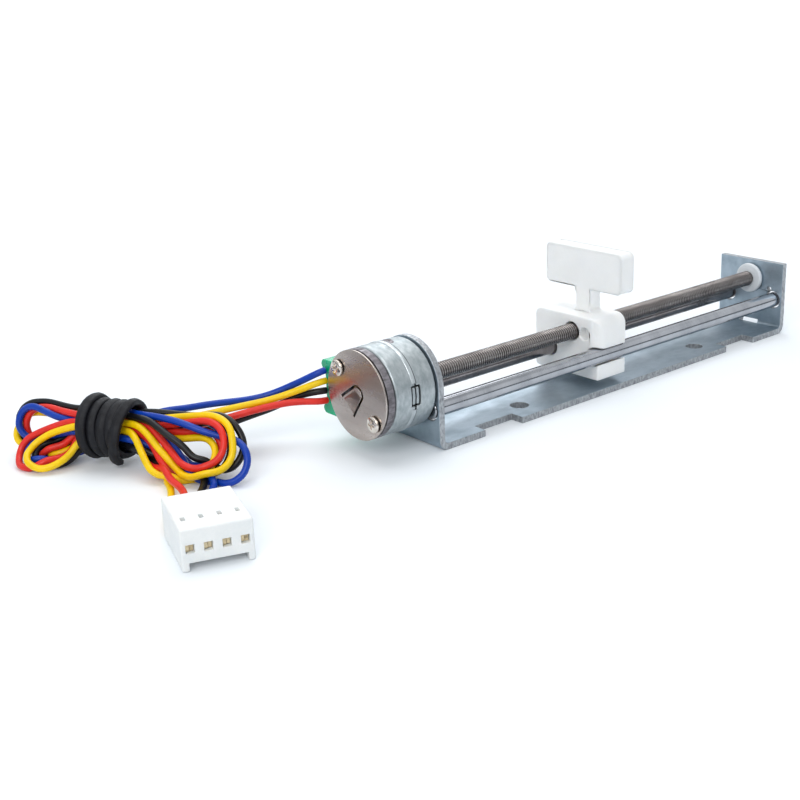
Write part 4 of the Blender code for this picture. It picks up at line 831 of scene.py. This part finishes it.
bmesh.ops.transform(skin, matrix=PLUG @ Matrix.Diagonal((MM, MM, MM, 1)), verts=skin.verts)
springs = piece_from(skin, "contact_springs", "frame", "brass_parts")
springs.data.materials.append(tin)

# Floor and light
# A white sweep under large soft lamps. The floor takes the object's shadow, and the room round it
# is white to the camera, with a dim band at the horizon that gives the metal its dark lines.
FLOOR_SIZE = 8.0
FLOOR_COLOUR = (0.86, 0.90, 0.94)
# How strongly the floor glows to the camera near the object and far from it, and from where to where
NEAR_GLOW, FAR_GLOW = 0.06, 0.85
GLOW_FROM, GLOW_TO = 0.08, 0.55

floor_mesh = bpy.data.meshes.new("floor")
skin = bmesh.new()
bmesh.ops.create_grid(skin, x_segments=1, y_segments=1, size=FLOOR_SIZE / 2)
skin.to_mesh(floor_mesh)
skin.free()
floor = bpy.data.objects.new("floor", floor_mesh)
scene.collection.objects.link(floor)
white, tree, shader = new_material("sweep")
shader.inputs["Base Color"].default_value = (*FLOOR_COLOUR, 1)
shader.inputs["Roughness"].default_value = 0.9
shader.inputs["Specular IOR Level"].default_value = 0.0
rays = tree.nodes.new("ShaderNodeLightPath")
lift = tree.nodes.new("ShaderNodeMath")
lift.operation = "MULTIPLY"
reach = tree.nodes.new("ShaderNodeTexCoord")
away = tree.nodes.new("ShaderNodeVectorMath")
away.operation = "LENGTH"
glow = tree.nodes.new("ShaderNodeMapRange")
glow.interpolation_type = "SMOOTHSTEP"
glow.inputs["From Min"].default_value = GLOW_FROM
glow.inputs["From Max"].default_value = GLOW_TO
glow.inputs["To Min"].default_value = NEAR_GLOW
glow.inputs["To Max"].default_value = FAR_GLOW
tree.links.new(reach.outputs["Object"], away.inputs[0])
tree.links.new(away.outputs["Value"], glow.inputs["Value"])
tree.links.new(glow.outputs["Result"], lift.inputs[1])
shader.inputs["Emission Color"].default_value = (1.0, 1.0, 1.0, 1)
tree.links.new(rays.outputs["Is Camera Ray"], lift.inputs[0])
tree.links.new(lift.outputs[0], shader.inputs["Emission Strength"])
floor_mesh.materials.append(white)

# What the room gives as light, and what metal and gloss see in it
ROOM_LIGHT = 0.66
ROOM_IN_GLOSS = 0.92
room = bpy.data.worlds.new("room")
room.use_nodes = True
scene.world = room
tree = room.node_tree
for node in list(tree.nodes):
    tree.nodes.remove(node)
out = tree.nodes.new("ShaderNodeOutputWorld")
seen = tree.nodes.new("ShaderNodeBackground")
seen.inputs["Color"].default_value = (1, 1, 1, 1)
lit = tree.nodes.new("ShaderNodeBackground")
level = tree.nodes.new("ShaderNodeMapRange")
level.inputs["To Min"].default_value = ROOM_LIGHT
level.inputs["To Max"].default_value = ROOM_IN_GLOSS
place = tree.nodes.new("ShaderNodeTexCoord")
split = tree.nodes.new("ShaderNodeSeparateXYZ")
bands = tree.nodes.new("ShaderNodeValToRGB")
tree.links.new(place.outputs["Generated"], split.inputs[0])
tree.links.new(split.outputs["Z"], bands.inputs["Fac"])
bands.color_ramp.elements[0].position = 0.0
bands.color_ramp.elements[0].color = (0.10, 0.12, 0.14, 1)
bands.color_ramp.elements[1].position = 0.10
bands.color_ramp.elements[1].color = (0.12, 0.14, 0.16, 1)
for height, shade in ((0.22, 0.95), (0.62, 1.0), (0.80, 0.55), (1.0, 1.0)):
    step = bands.color_ramp.elements.new(height)
    step.color = (shade * 0.93, shade * 0.97, shade, 1)
tree.links.new(bands.outputs["Color"], lit.inputs["Color"])
choose = tree.nodes.new("ShaderNodeMixShader")
rays = tree.nodes.new("ShaderNodeLightPath")
tree.links.new(rays.outputs["Is Glossy Ray"], level.inputs["Value"])
tree.links.new(level.outputs["Result"], lit.inputs["Strength"])
tree.links.new(rays.outputs["Is Camera Ray"], choose.inputs["Fac"])
tree.links.new(lit.outputs[0], choose.inputs[1])
tree.links.new(seen.outputs[0], choose.inputs[2])
tree.links.new(choose.outputs[0], out.inputs["Surface"])
scene.view_settings.view_transform = "Standard"


def lamp(name, place, target, size, power, colour=(1, 1, 1)):
    """A square soft lamp at a place, turned to a target."""
    made = bpy.data.lights.new(name, "AREA")
    made.shape = "SQUARE"
    made.size = size
    made.energy = power
    made.color = colour
    held = bpy.data.objects.new(name, made)
    held.location = place
    held.rotation_euler = (Vector(target) - Vector(place)).to_track_quat("-Z", "Y").to_euler()
    scene.collection.objects.link(held)


lamp("top_lamp", (0.05, 0.10, 0.55), (-0.02, 0.0, 0.0), 0.50, 1.6)
lamp("side_lamp", (-0.45, -0.25, 0.35), (-0.03, 0.0, 0.01), 0.30, 1.3, (1.0, 0.99, 0.97))
lamp("back_lamp", (0.30, 0.45, 0.30), (0.0, 0.0, 0.0), 0.30, 0.6, (0.94, 0.97, 1.0))
